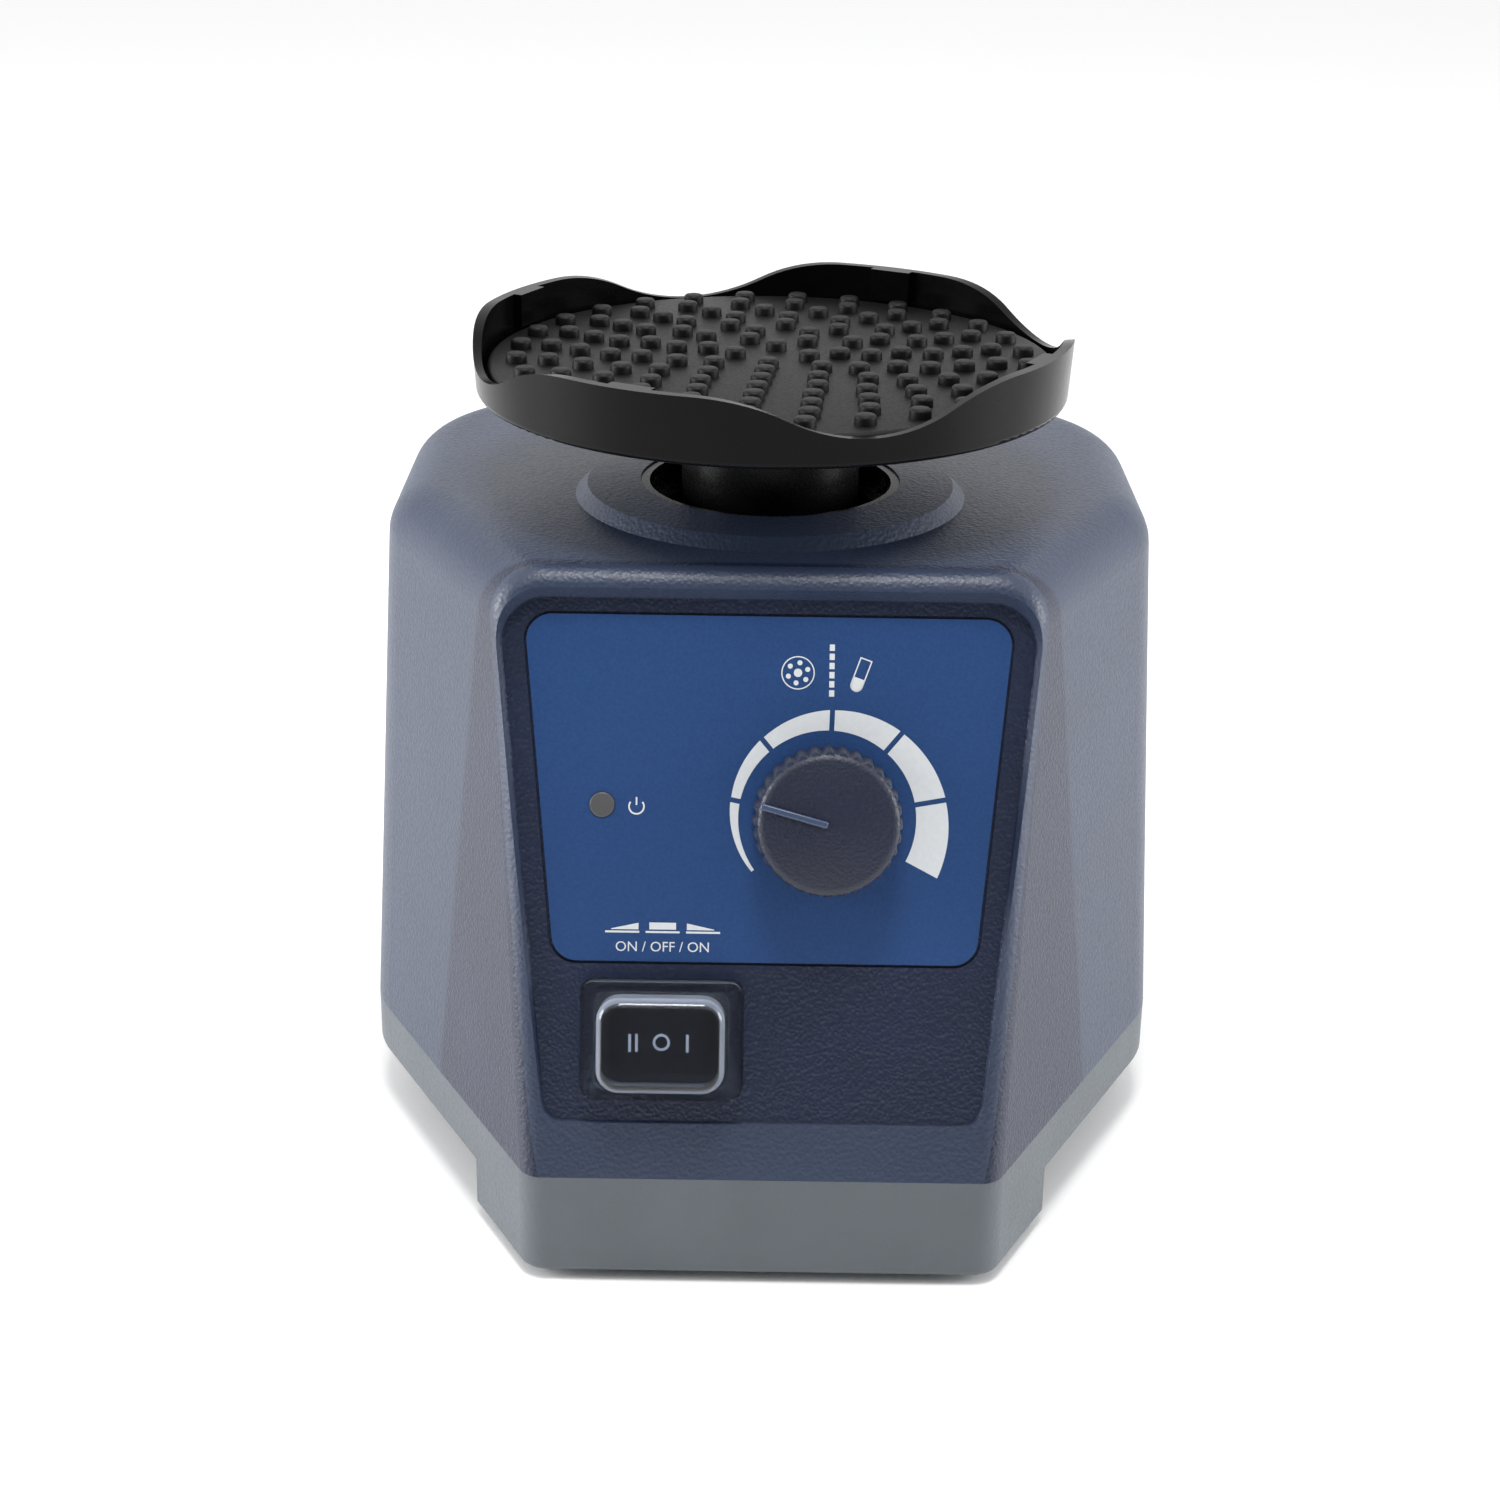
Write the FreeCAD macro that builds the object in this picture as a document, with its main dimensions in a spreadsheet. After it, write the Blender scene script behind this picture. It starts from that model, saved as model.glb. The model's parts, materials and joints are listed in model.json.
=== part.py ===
"""Vortex mixer: a bench shaker with a nubbed round platform on a touch-started orbital drive.

Millimetres, +Z up, front towards -Y. The origin is on the table, under the motor's axis.
"""
import FreeCAD, Part
import os
import Sketcher

SIZES = [
    # Base and feet
    ("foot_drop", 1.5, "clear height of the base above the table"),
    ("foot_radius", 6.8, "radius of a rubber foot"),
    ("foot_recess", 1.0, "how deep a foot is let into the base"),
    ("foot_gap", 0.15, "play round a foot in its recess"),
    ("base_height", 17.5, "height of the grey base"),
    ("base_wall", 3.0, "wall of the base"),
    ("base_floor", 4.0, "floor of the base"),
    ("base_edge", 1.2, "rounding of the base's lower edge"),
    ("notch_depth", 14.0, "how far a finger notch goes in"),
    ("notch_height", 9.0, "height of a finger notch"),
    ("notch_front", 52.0, "front end of a finger notch, ahead of the axis"),
    ("notch_back", 32.0, "back end of a finger notch, behind the axis"),
    ("notch_corner", 4.0, "rounding of the notch's plan corners"),
    # Plan outline where casing and base meet
    ("front_half", 37.1, "half width of the front edge"),
    ("front_reach", 71.22, "front edge, ahead of the axis"),
    ("side_half", 69.0, "half width at the flanks"),
    ("flare_end", 10.22, "where the flared side meets the flank, ahead of the axis"),
    ("rear_reach", 73.16, "rear edge, behind the axis"),
    ("front_corner", 5.0, "rounding of the front corners"),
    ("side_corner", 25.0, "rounding between flare and flank"),
    ("rear_corner", 33.0, "rounding of the rear corners"),
    # Upper casing
    ("casing_height", 91.5, "height of the casing above the base"),
    ("casing_wall", 3.2, "wall of the casing"),
    ("front_lean", 17.5, "lean of the front face, degrees"),
    ("flare_draft", 5.2, "draft of the flared sides, degrees"),
    ("side_draft", 2.5, "draft of flanks and rear, degrees"),
    ("shoulder", 9.0, "rounding of the top edge"),
    ("front_edge", 4.0, "rounding round the front face"),
    ("boss_radius", 4.5, "screw boss"),
    ("boss_inset", 10.9, "screw boss in from the front or rear edge"),
    ("boss_front", 31.0, "front screw bosses, off the centre line"),
    ("boss_rear", 40.0, "rear screw bosses, off the centre line"),
    ("rib_thick", 2.4, "rib that ties a rear boss to the wall"),
    ("collar_radius", 32.9, "foot of the raised collar"),
    ("collar_slope", 2.0, "run of the collar's sloping side"),
    ("collar_rise", 2.0, "height of the collar's edge"),
    ("collar_crown", 0.5, "further rise of the collar towards its hole"),
    ("neck_hole", 21.9, "radius of the hole for the drive neck"),
    # Front panel recess; places on the panel are from its middle, right and up
    ("panel_rise", 47.5, "middle of the panel above the base"),
    ("panel_lean", 19.0, "lean of the panel, degrees"),
    ("panel_sink", 1.7, "panel below the front face, at its middle"),
    ("panel_wall", 2.4, "thickness behind the panel"),
    ("panel_length", 82.2, "length of the recess up the slope"),
    ("panel_top", 84.9, "width of the recess at the top"),
    ("panel_bottom", 68.4, "width of the recess at the bottom"),
    ("panel_top_corner", 7.0, "upper corners of the recess"),
    ("panel_bottom_corner", 3.3, "lower corners of the recess"),
    ("panel_flank", 30.0, "slope of the recess's sides, degrees"),
    ("panel_flank_reach", 5.0, "how far out the sloping sides are cut"),
    ("label_up", 11.4, "middle of the label"),
    ("label_length", 54.4, "length of the label up the slope"),
    ("label_top", 76.6, "width of the label at the top"),
    ("label_bottom", 66.3, "width of the label at the bottom"),
    ("label_corner", 4.0, "corners of the label"),
    ("label_thick", 0.5, "thickness of the label"),
    ("label_gap", 0.45, "gap round the label"),
    ("dial_right", 9.5, "speed knob, right of the middle"),
    ("dial_up", 7.0, "speed knob, up from the middle"),
    ("lamp_right", -25.8, "indicator, right of the middle"),
    ("lamp_up", 8.8, "indicator, up from the middle"),
    ("lamp_radius", 2.0, "radius of the indicator lens"),
    ("lens_proud", 0.3, "lens in front of the label"),
    ("switch_right", -16.0, "rocker switch, right of the middle"),
    ("switch_up", -28.1, "rocker switch, up from the middle"),
    # Circuit board
    ("board_gap", 9.0, "space between panel and circuit board"),
    ("board_right", -2.0, "middle of the board"),
    ("board_up", 8.0, "middle of the board"),
    ("board_width", 62.0, "width of the board"),
    ("board_length", 40.0, "length of the board"),
    ("board_thick", 1.6, "thickness of the board"),
    ("board_hole_in", 3.6, "board screw holes, in from the edges"),
    ("post_radius", 2.6, "post that carries the board"),
    ("diode_radius", 1.5, "indicator diode"),
    ("diode_rim", 1.0, "rim at the foot of the diode"),
    ("capacitor_radius", 4.0, "capacitor on the board"),
    ("capacitor_height", 8.0, "capacitor on the board"),
    ("capacitor_right", -17.4, "capacitors, right of the board's middle"),
    ("capacitor_up", 8.0, "capacitors, above and below the board's middle"),
    ("sink_width", 14.0, "heat sink on the board"),
    ("sink_length", 20.0, "heat sink on the board"),
    ("sink_height", 7.0, "heat sink on the board"),
    ("sink_right", 6.2, "heat sink, right of the board's middle"),
    ("block_width", 8.0, "terminal block on the board"),
    ("block_length", 24.0, "terminal block on the board"),
    ("block_height", 7.0, "terminal block on the board"),
    ("block_right", 22.3, "terminal block, right of the board's middle"),
    # Speed control and knob
    ("pot_radius", 8.2, "body of the speed control"),
    ("bush_radius", 3.5, "threaded bush of the speed control"),
    ("bush_length", 4.2, "bush in front of the panel"),
    ("nut_flats", 10.0, "nut of the bush, across flats"),
    ("nut_height", 2.4, "height of that nut"),
    ("spindle_radius", 3.0, "spindle of the speed control"),
    ("knob_radius", 11.8, "knob at the panel"),
    ("knob_taper", 0.8, "knob smaller by this at its face"),
    ("knob_height", 10.5, "knob up to the edge of its face"),
    ("knob_crown", 1.2, "rise of the face to its middle"),
    ("knob_edge", 1.2, "rounding of the face's edge"),
    ("knob_gap", 0.8, "gap between knob and panel"),
    ("knob_wall", 2.4, "wall of the knob's skirt"),
    ("knob_skirt", 4.6, "depth of the hollow under the knob"),
    ("flute_radius", 0.95, "radius of a flute in the knob's side"),
    ("flute_count", 32, "flutes round the knob"),
    ("pointer_angle", 165.2, "pointer at rest, degrees from the right"),
    ("pointer_width", 1.0, "width of the raised pointer"),
    ("pointer_rise", 0.5, "pointer above the edge of the face"),
    # Rocker switch and its clear cap
    ("bezel_width", 21.0, "rim of the switch"),
    ("bezel_length", 15.0, "rim of the switch"),
    ("bezel_thick", 2.0, "rim of the switch"),
    ("switch_width", 19.0, "switch body in the panel"),
    ("switch_length", 13.0, "switch body in the panel"),
    ("switch_depth", 19.5, "switch body behind its rim"),
    ("switch_fit", 0.2, "play of the switch body in its cut-out"),
    ("well_width", 16.5, "opening for the rocker"),
    ("well_length", 10.1, "opening for the rocker"),
    ("well_depth", 10.0, "opening for the rocker"),
    ("rocker_gap", 0.3, "play between rocker and opening"),
    ("rocker_pivot", 4.0, "rocker's pivot below the rim's face"),
    ("rocker_ends", 0.3, "rocker's ends above the rim"),
    ("rocker_dip", 1.4, "middle of the rocker below its ends"),
    ("rocker_below", 4.0, "rocker below its pivot"),
    ("trunnion_radius", 1.2, "rocker's pivot pin"),
    ("trunnion_reach", 0.9, "pivot pin into the switch wall"),
    ("running", 0.05, "radial play of pins and plungers"),
    ("tab_width", 4.8, "switch terminal"),
    ("tab_thick", 0.8, "switch terminal"),
    ("tab_length", 7.0, "switch terminal"),
    ("tab_pitch", 6.0, "switch terminals apart"),
    ("cap_width", 25.3, "flange of the clear cap"),
    ("cap_length", 18.7, "flange of the clear cap"),
    ("cap_corner", 2.0, "corners of the flange"),
    ("cap_sink", 0.5, "cap and switch let into the panel"),
    ("cap_gap", 0.25, "play round the cap and over the rim"),
    ("cap_cover", 0.9, "flange above the switch rim"),
    ("dome_width", 20.0, "dome of the cap"),
    ("dome_length", 14.9, "dome of the cap"),
    ("dome_height", 5.4, "dome above the flange"),
    ("dome_corner", 3.6, "corners of the dome"),
    ("dome_edge", 1.8, "rounding of the dome's top"),
    ("dome_wall", 0.9, "wall of the dome"),
    # Mains inlet in the rear wall
    ("inlet_rise", 22.0, "middle of the inlet above the base"),
    ("inlet_width", 31.0, "flange of the inlet"),
    ("inlet_length", 25.0, "flange of the inlet"),
    ("inlet_flange", 1.6, "flange thickness, flush in the wall"),
    ("inlet_gap", 0.2, "play round the inlet"),
    ("inlet_body_width", 27.6, "inlet body in the wall"),
    ("inlet_body_length", 20.4, "inlet body in the wall"),
    ("inlet_depth", 19.0, "inlet body behind the flange's face"),
    ("socket_width", 24.4, "socket"),
    ("socket_length", 16.6, "socket"),
    ("socket_cut", 4.6, "cut corners of the socket"),
    ("socket_depth", 15.5, "socket"),
    ("blade_width", 4.0, "inlet contact blade"),
    ("blade_thick", 2.0, "inlet contact blade"),
    ("blade_pitch", 7.0, "line and neutral blades, off the middle"),
    ("blade_offset", 2.0, "earth blade off the row"),
    ("blade_sink", 3.0, "blade tips inside the socket's mouth"),
    ("blade_tail", 7.0, "blades behind the inlet body"),
    # Screws
    ("screw_radius", 1.45, "case screw shank"),
    ("screw_head", 2.75, "case screw head"),
    ("screw_head_height", 2.0, "case screw head"),
    ("screw_grip", 14.0, "case screw in the casing's boss"),
    ("screw_seat", 6.0, "case screw heads inside the base"),
    ("screw_play", 0.05, "screw shank in its threaded hole"),
    ("screw_clear", 0.3, "screw in a clearance hole"),
    ("stud_radius", 1.95, "plate and motor screw shank"),
    ("stud_head", 3.6, "plate and motor screw head"),
    ("stud_head_height", 2.2, "plate and motor screw head"),
    ("stud_grip", 2.6, "plate and motor screw in its thread"),
    ("small_radius", 1.2, "board screw shank"),
    ("small_head", 2.2, "board screw head"),
    ("small_head_height", 1.5, "board screw head"),
    ("small_grip", 5.0, "board screw in its post"),
    # Ballast, isolators and touch switch
    ("ballast_gap", 0.5, "play round the ballast plate"),
    ("ballast_thick", 6.0, "ballast plate"),
    ("ballast_edge", 9.5, "ballast screws in from the plate's edges"),
    ("ballast_front_in", 15.1, "front ballast screws, inside the ends of the front edge"),
    ("mount_edge", 9.0, "isolators in from the motor plate's edges"),
    ("isolator_radius", 6.0, "rubber isolator"),
    ("isolator_height", 11.0, "rubber isolator"),
    ("guide_radius", 2.0, "guide screw through an isolator"),
    ("guide_play", 0.08, "guide screw in the motor plate"),
    ("guide_head", 4.0, "guide screw head"),
    ("guide_head_height", 2.4, "guide screw head"),
    ("guide_grip", 5.0, "guide screw in the ballast plate"),
    ("stop_gap", 0.1, "motor plate below the guide screw heads"),
    ("feeler_edge", 8.0, "touch switch in from the motor plate's rear edge"),
    ("feeler_width", 20.0, "touch switch body"),
    ("feeler_thick", 6.4, "touch switch body"),
    ("feeler_height", 8.2, "touch switch body"),
    ("plunger_radius", 1.5, "touch switch plunger"),
    ("plunger_depth", 4.5, "plunger inside the switch"),
    ("plunger_floor", 2.2, "play under the plunger"),
    # Motor
    ("plate_width", 82.0, "motor plate"),
    ("plate_length", 76.0, "motor plate"),
    ("plate_thick", 3.0, "motor plate"),
    ("plate_corner", 7.0, "motor plate"),
    ("plate_hole", 12.0, "motor plate's centre hole"),
    ("motor_radius", 30.0, "motor"),
    ("motor_wall", 2.0, "wall of the motor can"),
    ("bell_thick", 3.5, "end bells"),
    ("can_height", 35.0, "motor can between its bells"),
    ("motor_screw_in", 4.55, "motor screws in from the motor's outside"),
    ("bearing_bore", 4.0, "shaft radius at the bearings"),
    ("bearing_play", 0.03, "shaft in a bearing"),
    ("bearing_outer", 11.0, "bearing outside radius"),
    ("bearing_width", 7.0, "bearing"),
    ("shield_inner", 6.0, "bearing shield"),
    ("shield_outer", 9.0, "bearing shield"),
    ("shield_sink", 0.5, "bearing shield below the rings"),
    ("seat_wall", 3.0, "wall of a bearing seat"),
    ("seat_lip", 1.5, "lip under a bearing"),
    ("lip_in", 2.0, "lip over the bearing's outer ring"),
    ("shaft_radius", 5.0, "shaft between the bearings"),
    ("shaft_shoulder", 0.1, "shaft shoulders clear of the bearings"),
    ("shaft_tail", 1.0, "shaft below the lower bearing"),
    ("stack_outer_gap", 0.05, "stator stack in the can"),
    ("stack_height", 20.0, "stator stack and rotor"),
    ("stack_rise", 8.0, "stator stack above the lower bell"),
    ("rotor_radius", 16.5, "rotor"),
    ("air_gap", 0.5, "between rotor and stator"),
    ("slot_count", 12, "winding slots"),
    ("tooth_tip", 2.0, "stator tooth inside the slots"),
    ("yoke", 3.45, "stator stack outside the slots"),
    ("slot_width", 5.0, "winding slot"),
    ("coil_gap", 0.3, "winding clear of the slot"),
    ("coil_height", 4.0, "winding ends"),
    ("cage_height", 2.0, "rotor end rings"),
    ("cage_wall", 5.0, "rotor end rings"),
    # Crank
    ("throw", 2.0, "crank pin off the motor's axis"),
    ("crank_gap", 3.0, "crank above the motor"),
    ("crank_radius", 13.0, "crank disc"),
    ("crank_height", 8.0, "crank disc"),
    ("shaft_grip", 7.0, "shaft inside the crank"),
    ("weight_radius", 27.0, "counterweight"),
    ("weight_start", 2.0, "counterweight begins this far from the axis"),
    ("crank_boss", 10.0, "boss round the crank pin"),
    ("crank_boss_height", 6.0, "boss round the crank pin"),
    ("pin_collar", 5.2, "collar of the crank pin"),
    ("pin_collar_height", 2.0, "collar of the crank pin"),
    ("spacer_height", 4.0, "between the head bearings"),
    ("spacer_wall", 1.4, "spacer between the bearings"),
    ("spacer_play", 0.1, "spacer and washer clear of what turns"),
    ("washer_radius", 5.4, "washer on the crank pin"),
    ("washer_thick", 1.0, "washer on the crank pin"),
    ("crank_screw_grip", 8.0, "screw in the crank pin"),
    # Head
    ("hub_radius", 15.0, "neck under the platform"),
    ("hub_gap", 0.6, "neck above the crank"),
    ("hub_room", 7.0, "hollow over the crank screw"),
    ("hub_room_radius", 8.5, "hollow over the crank screw"),
    ("flange_radius", 22.0, "flange under the platform"),
    ("flange_thick", 2.5, "flange under the platform"),
    ("clip_thick", 0.9, "retaining ring"),
    ("clip_in", 1.4, "retaining ring inside the bore"),
    ("clip_groove", 0.6, "retaining ring in its groove"),
    ("clip_play", 0.05, "retaining ring in its groove"),
    ("clip_sweep", 330.0, "retaining ring, degrees"),
    ("platform_rise", 15.1, "platform above the collar's hole"),
    ("platform_radius", 50.0, "platform at its rim"),
    ("platform_draft", 0.7, "platform smaller by this at its floor"),
    ("platform_wall", 1.7, "platform wall"),
    ("platform_floor", 2.0, "platform floor"),
    ("platform_height", 11.0, "platform at its lobes"),
    ("platform_edge", 1.2, "rounding under the platform"),
    ("lobe_count", 4, "lobes round the platform"),
    ("valley_depth", 6.3, "dip between the lobes"),
    ("valley_half", 26.9, "half width of a dip"),
    ("valley_angle", 18.0, "first dip from the front, degrees"),
    ("lobe_pad_width", 7.5, "thick pad inside each lobe"),
    ("lobe_pad_thick", 1.6, "thick pad inside each lobe"),
    ("lobe_pad_gap", 0.4, "pad above the mat"),
    ("platform_screws", 3, "screws in the platform floor"),
    ("platform_screw_ring", 18.5, "those screws, from the axis"),
    ("flat_head", 2.9, "platform screw head"),
    ("flat_head_height", 1.5, "platform screw head"),
    ("mat_gap", 0.9, "mat clear of the platform wall"),
    ("mat_thick", 3.0, "mat"),
    ("nub_radius", 1.55, "nub"),
    ("nub_height", 2.0, "nub"),
    ("nub_draft", 6.0, "taper of a nub, degrees"),
    ("nub_rings", 8, "rings of nubs"),
    ("nub_edge", 4.8, "outer ring in from the mat's edge"),
    ("nub_ring_pitch", 5.2, "rings apart"),
    ("nub_pitch", 9.6, "nubs apart round a ring"),
    ("nub_turn", 6.3, "row of nubs that starts every ring, left of the front, degrees"),
    # Sleeve round the neck
    ("sleeve_bore", 18.6, "opening round the neck"),
    ("sleeve_flange", 28.0, "flange under the casing top"),
    ("sleeve_thick", 2.0, "flange under the casing top"),
    ("sleeve_fit", 0.1, "sleeve in the collar's hole"),
    ("sleeve_lip", 1.4, "lining of the collar's hole"),
    ("sleeve_sink", 0.3, "lining below the collar's top"),
]

doc = FreeCAD.newDocument("vortex_mixer")
sheet = doc.addObject("Spreadsheet::Sheet", "Dims")
for row, (alias, number, note) in enumerate(SIZES, start=1):
    sheet.set(f"A{row}", note)
    sheet.set(f"B{row}", str(number))
    sheet.setAlias(f"B{row}", alias)
doc.recompute()

# Heights and places that several pieces share, as expressions on the sheet
SPLIT = "(Dims.foot_drop + Dims.base_height)"
TOP = f"({SPLIT} + Dims.casing_height)"
CEILING = f"({TOP} - Dims.casing_wall)"
COLLAR_TOP = f"({TOP} + Dims.collar_rise + Dims.collar_crown)"
FLARE = "atan((Dims.side_half - Dims.front_half) / (Dims.front_reach - Dims.flare_end))"
WELL_INSET = "(Dims.notch_depth + Dims.base_wall)"
LEDGE = "(Dims.foot_drop + Dims.notch_height + Dims.base_wall)"
PANEL_Y = ("(Dims.panel_rise * tan(Dims.front_lean) + Dims.panel_sink / cos(Dims.front_lean)"
           " - Dims.front_reach)")
PANEL_Z = f"({SPLIT} + Dims.panel_rise)"
BALLAST_Z = "(Dims.foot_drop + Dims.base_floor)"
BALLAST_TOP = f"({BALLAST_Z} + Dims.ballast_thick)"
PLATE_Z = f"({BALLAST_TOP} + Dims.isolator_height)"
PLATE_TOP = f"({PLATE_Z} + Dims.plate_thick)"
CAN_Z = f"({PLATE_TOP} + Dims.bell_thick)"
CAN_TOP = f"({CAN_Z} + Dims.can_height)"
MOTOR_TOP = f"({CAN_TOP} + Dims.bell_thick)"
LOWER_BEARING = f"({PLATE_TOP} + Dims.seat_lip)"
UPPER_BEARING = f"({MOTOR_TOP} - Dims.bearing_width)"
STACK_Z = f"({CAN_Z} + Dims.stack_rise)"
STACK_TOP = f"({STACK_Z} + Dims.stack_height)"
CRANK_Z = f"({MOTOR_TOP} + Dims.crank_gap)"
CRANK_TOP = f"({CRANK_Z} + Dims.crank_height)"
BOSS_TOP = f"({CRANK_TOP} + Dims.crank_boss_height)"
HEAD_BEARING = f"({BOSS_TOP} + Dims.pin_collar_height)"
SECOND_BEARING = f"({HEAD_BEARING} + Dims.bearing_width + Dims.spacer_height)"
PIN_TOP = f"({SECOND_BEARING} + Dims.bearing_width + Dims.spacer_play)"
PLATFORM_Z = f"({COLLAR_TOP} + Dims.platform_rise)"
FLOOR_TOP = f"({PLATFORM_Z} + Dims.platform_floor)"
MAT_TOP = f"({FLOOR_TOP} + Dims.mat_thick)"
LOBE_TOP = f"({PLATFORM_Z} + Dims.platform_height)"
PLATFORM_BORE = "(Dims.platform_radius - Dims.platform_wall)"
MAT_RADIUS = f"({PLATFORM_BORE} - Dims.mat_gap)"
CAP_FLANGE = "(Dims.bezel_thick + Dims.cap_gap + Dims.cap_cover - Dims.cap_sink)"
RIM_FACE = "(Dims.bezel_thick - Dims.cap_sink)"
PIVOT = f"({RIM_FACE} - Dims.rocker_pivot)"
BOARD_FACE = "(Dims.panel_wall + Dims.board_gap)"
INLET_Y = "(Dims.rear_reach - Dims.inlet_rise * tan(Dims.side_draft))"
INLET_Z = f"({SPLIT} + Dims.inlet_rise)"
BOSS_PLACES = [(f"{side} * Dims.boss_{row}", f"{along} * (Dims.{row}_reach - Dims.boss_inset)")
               for row, along in (("front", -1), ("rear", 1)) for side in (-1, 1)]
BALLAST_IN = f"({WELL_INSET} + Dims.ballast_gap + Dims.ballast_edge)"
BALLAST_HALF = {"front": "(Dims.front_half - Dims.ballast_front_in)",
                "rear": f"(Dims.side_half - {BALLAST_IN})"}
BALLAST_PLACES = [(f"{side} * {BALLAST_HALF[row]}", f"{along} * (Dims.{row}_reach - {BALLAST_IN})")
                  for row, along in (("front", -1), ("rear", 1)) for side in (-1, 1)]
MOUNT_PLACES = [(f"{side} * (Dims.plate_width / 2 - Dims.mount_edge)",
                 f"{along} * (Dims.plate_length / 2 - Dims.mount_edge)")
                for along in (-1, 1) for side in (-1, 1)]
MOTOR_SCREW = "((Dims.motor_radius - Dims.motor_screw_in) / sqrt(2))"
MOTOR_PLACES = [(f"{side} * {MOTOR_SCREW}", f"{along} * {MOTOR_SCREW}")
                for along in (-1, 1) for side in (-1, 1)]
FEELER_Y = "(Dims.plate_length / 2 - Dims.feeler_edge)"
STACK_RADIUS = "(Dims.motor_radius - Dims.motor_wall - Dims.stack_outer_gap)"
STACK_BORE = "(Dims.rotor_radius + Dims.air_gap)"
SLOT_INNER = f"({STACK_BORE} + Dims.tooth_tip)"
SLOT_OUTER = f"({STACK_RADIUS} - Dims.yoke)"
BOARD_PLACES = [(f"Dims.board_right + {side} * (Dims.board_width / 2 - Dims.board_hole_in)",
                 f"Dims.board_up + {along} * (Dims.board_length / 2 - Dims.board_hole_in)")
                for along in (-1, 1) for side in (-1, 1)]
TILT_AXIS = FreeCAD.Vector(1, 0, 0)
parts = []


def value(expression):
    """The number that an expression on the sheet stands for."""
    return float(sheet.evalExpression(expression))


def new_body(name):
    body = doc.addObject("PartDesign::Body", name)
    body.Label = name
    return body


def sub_part(piece):
    """Marks a finished piece as one to be handed over under its label."""
    parts.append(piece)
    return piece


def origin(body, role):
    return next(feature for feature in body.Origin.OriginFeatures if feature.Role == role)


def sketch_on(body, role="XY_Plane", lift="0"):
    sketch = body.newObject("Sketcher::SketchObject", f"{body.Name}_sketch")
    sketch.AttachmentSupport = [(origin(body, role), "")]
    sketch.MapMode = "FlatFace"
    sketch.setExpression("AttachmentOffset.Base.z", lift)
    return sketch


def tilted_sketch(body, across, up, turn):
    """A sketch on a sloping wall of the casing: its middle at (across, up), turned about X."""
    sketch = sketch_on(body, "XZ_Plane", f"-({across})")
    sketch.AttachmentOffset = FreeCAD.Placement(FreeCAD.Vector(), FreeCAD.Rotation(TILT_AXIS, -1))
    sketch.setExpression("AttachmentOffset.Base.y", up)
    sketch.setExpression("AttachmentOffset.Rotation.Angle", turn)
    return sketch


def panel_sketch(body):
    return tilted_sketch(body, PANEL_Y, PANEL_Z, "-Dims.panel_lean")


def rear_sketch(body):
    return tilted_sketch(body, INLET_Y, INLET_Z, "Dims.side_draft - 180")


def turned_sketch(body, role, axis, angle, lift="0"):
    """A sketch turned about one of its own axes by an angle of the sheet."""
    sketch = sketch_on(body, role, lift)
    sketch.AttachmentOffset = FreeCAD.Placement(FreeCAD.Vector(), FreeCAD.Rotation(axis, 1))
    sketch.setExpression("AttachmentOffset.Base.z", lift)
    sketch.setExpression("AttachmentOffset.Rotation.Angle", angle)
    return sketch


def tie(sketch, kind, geometry, point, expression):
    """Binds one coordinate of a sketch point to the sheet."""
    amount = value(expression)
    if abs(amount) < 1e-9:
        axis = -2 if kind == "DistanceX" else -1
        sketch.addConstraint(Sketcher.Constraint("PointOnObject", geometry, point, axis))
        return
    index = sketch.addConstraint(Sketcher.Constraint(kind, -1, 1, geometry, point, amount))
    sketch.setExpression(f"Constraints[{index}]", expression)


def tie_radius(sketch, geometry, expression):
    index = sketch.addConstraint(Sketcher.Constraint("Radius", geometry, value(expression)))
    sketch.setExpression(f"Constraints[{index}]", expression)


def outline(sketch, corners):
    """A closed outline through corners (x, y) or rounded corners (x, y, radius)."""
    points = [FreeCAD.Vector(value(corner[0]), value(corner[1]), 0) for corner in corners]
    first = sketch.GeometryCount
    count = len(points)
    for index, point in enumerate(points):
        sketch.addGeometry(Part.LineSegment(point, points[(index + 1) % count]), False)
    for index, corner in enumerate(corners):
        line = first + index
        sketch.addConstraint(Sketcher.Constraint("Coincident", line, 2, first + (index + 1) % count, 1))
        tie(sketch, "DistanceX", line, 1, corner[0])
        tie(sketch, "DistanceY", line, 1, corner[1])
    for index, corner in enumerate(corners):
        if len(corner) == 3:
            before, after = points[index - 1], points[(index + 1) % count]
            near = [points[index] * 0.9 + other * 0.1 for other in (before, after)]
            arc = sketch.GeometryCount
            sketch.fillet(first + (index - 1) % count, first + index, near[0], near[1],
                          value(corner[2]), True, True)
            tie_radius(sketch, arc, corner[2])
    return sketch


def rectangle(sketch, width, length, x="0", y="0", corner=None):
    rounding = (corner,) if corner else ()
    outline(sketch, [(f"{x} + {sx} * ({width}) / 2", f"{y} + {sy} * ({length}) / 2") + rounding
                     for sx, sy in ((-1, -1), (1, -1), (1, 1), (-1, 1))])
    return sketch


def circle(sketch, radius, x="0", y="0"):
    centre = FreeCAD.Vector(value(x), value(y), 0)
    ring = sketch.addGeometry(Part.Circle(centre, FreeCAD.Vector(0, 0, 1), value(radius)), False)
    tie(sketch, "DistanceX", ring, 3, x)
    tie(sketch, "DistanceY", ring, 3, y)
    tie_radius(sketch, ring, radius)
    return sketch


def circles(sketch, radius, places):
    for x, y in places:
        circle(sketch, radius, x, y)
    return sketch


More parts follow.
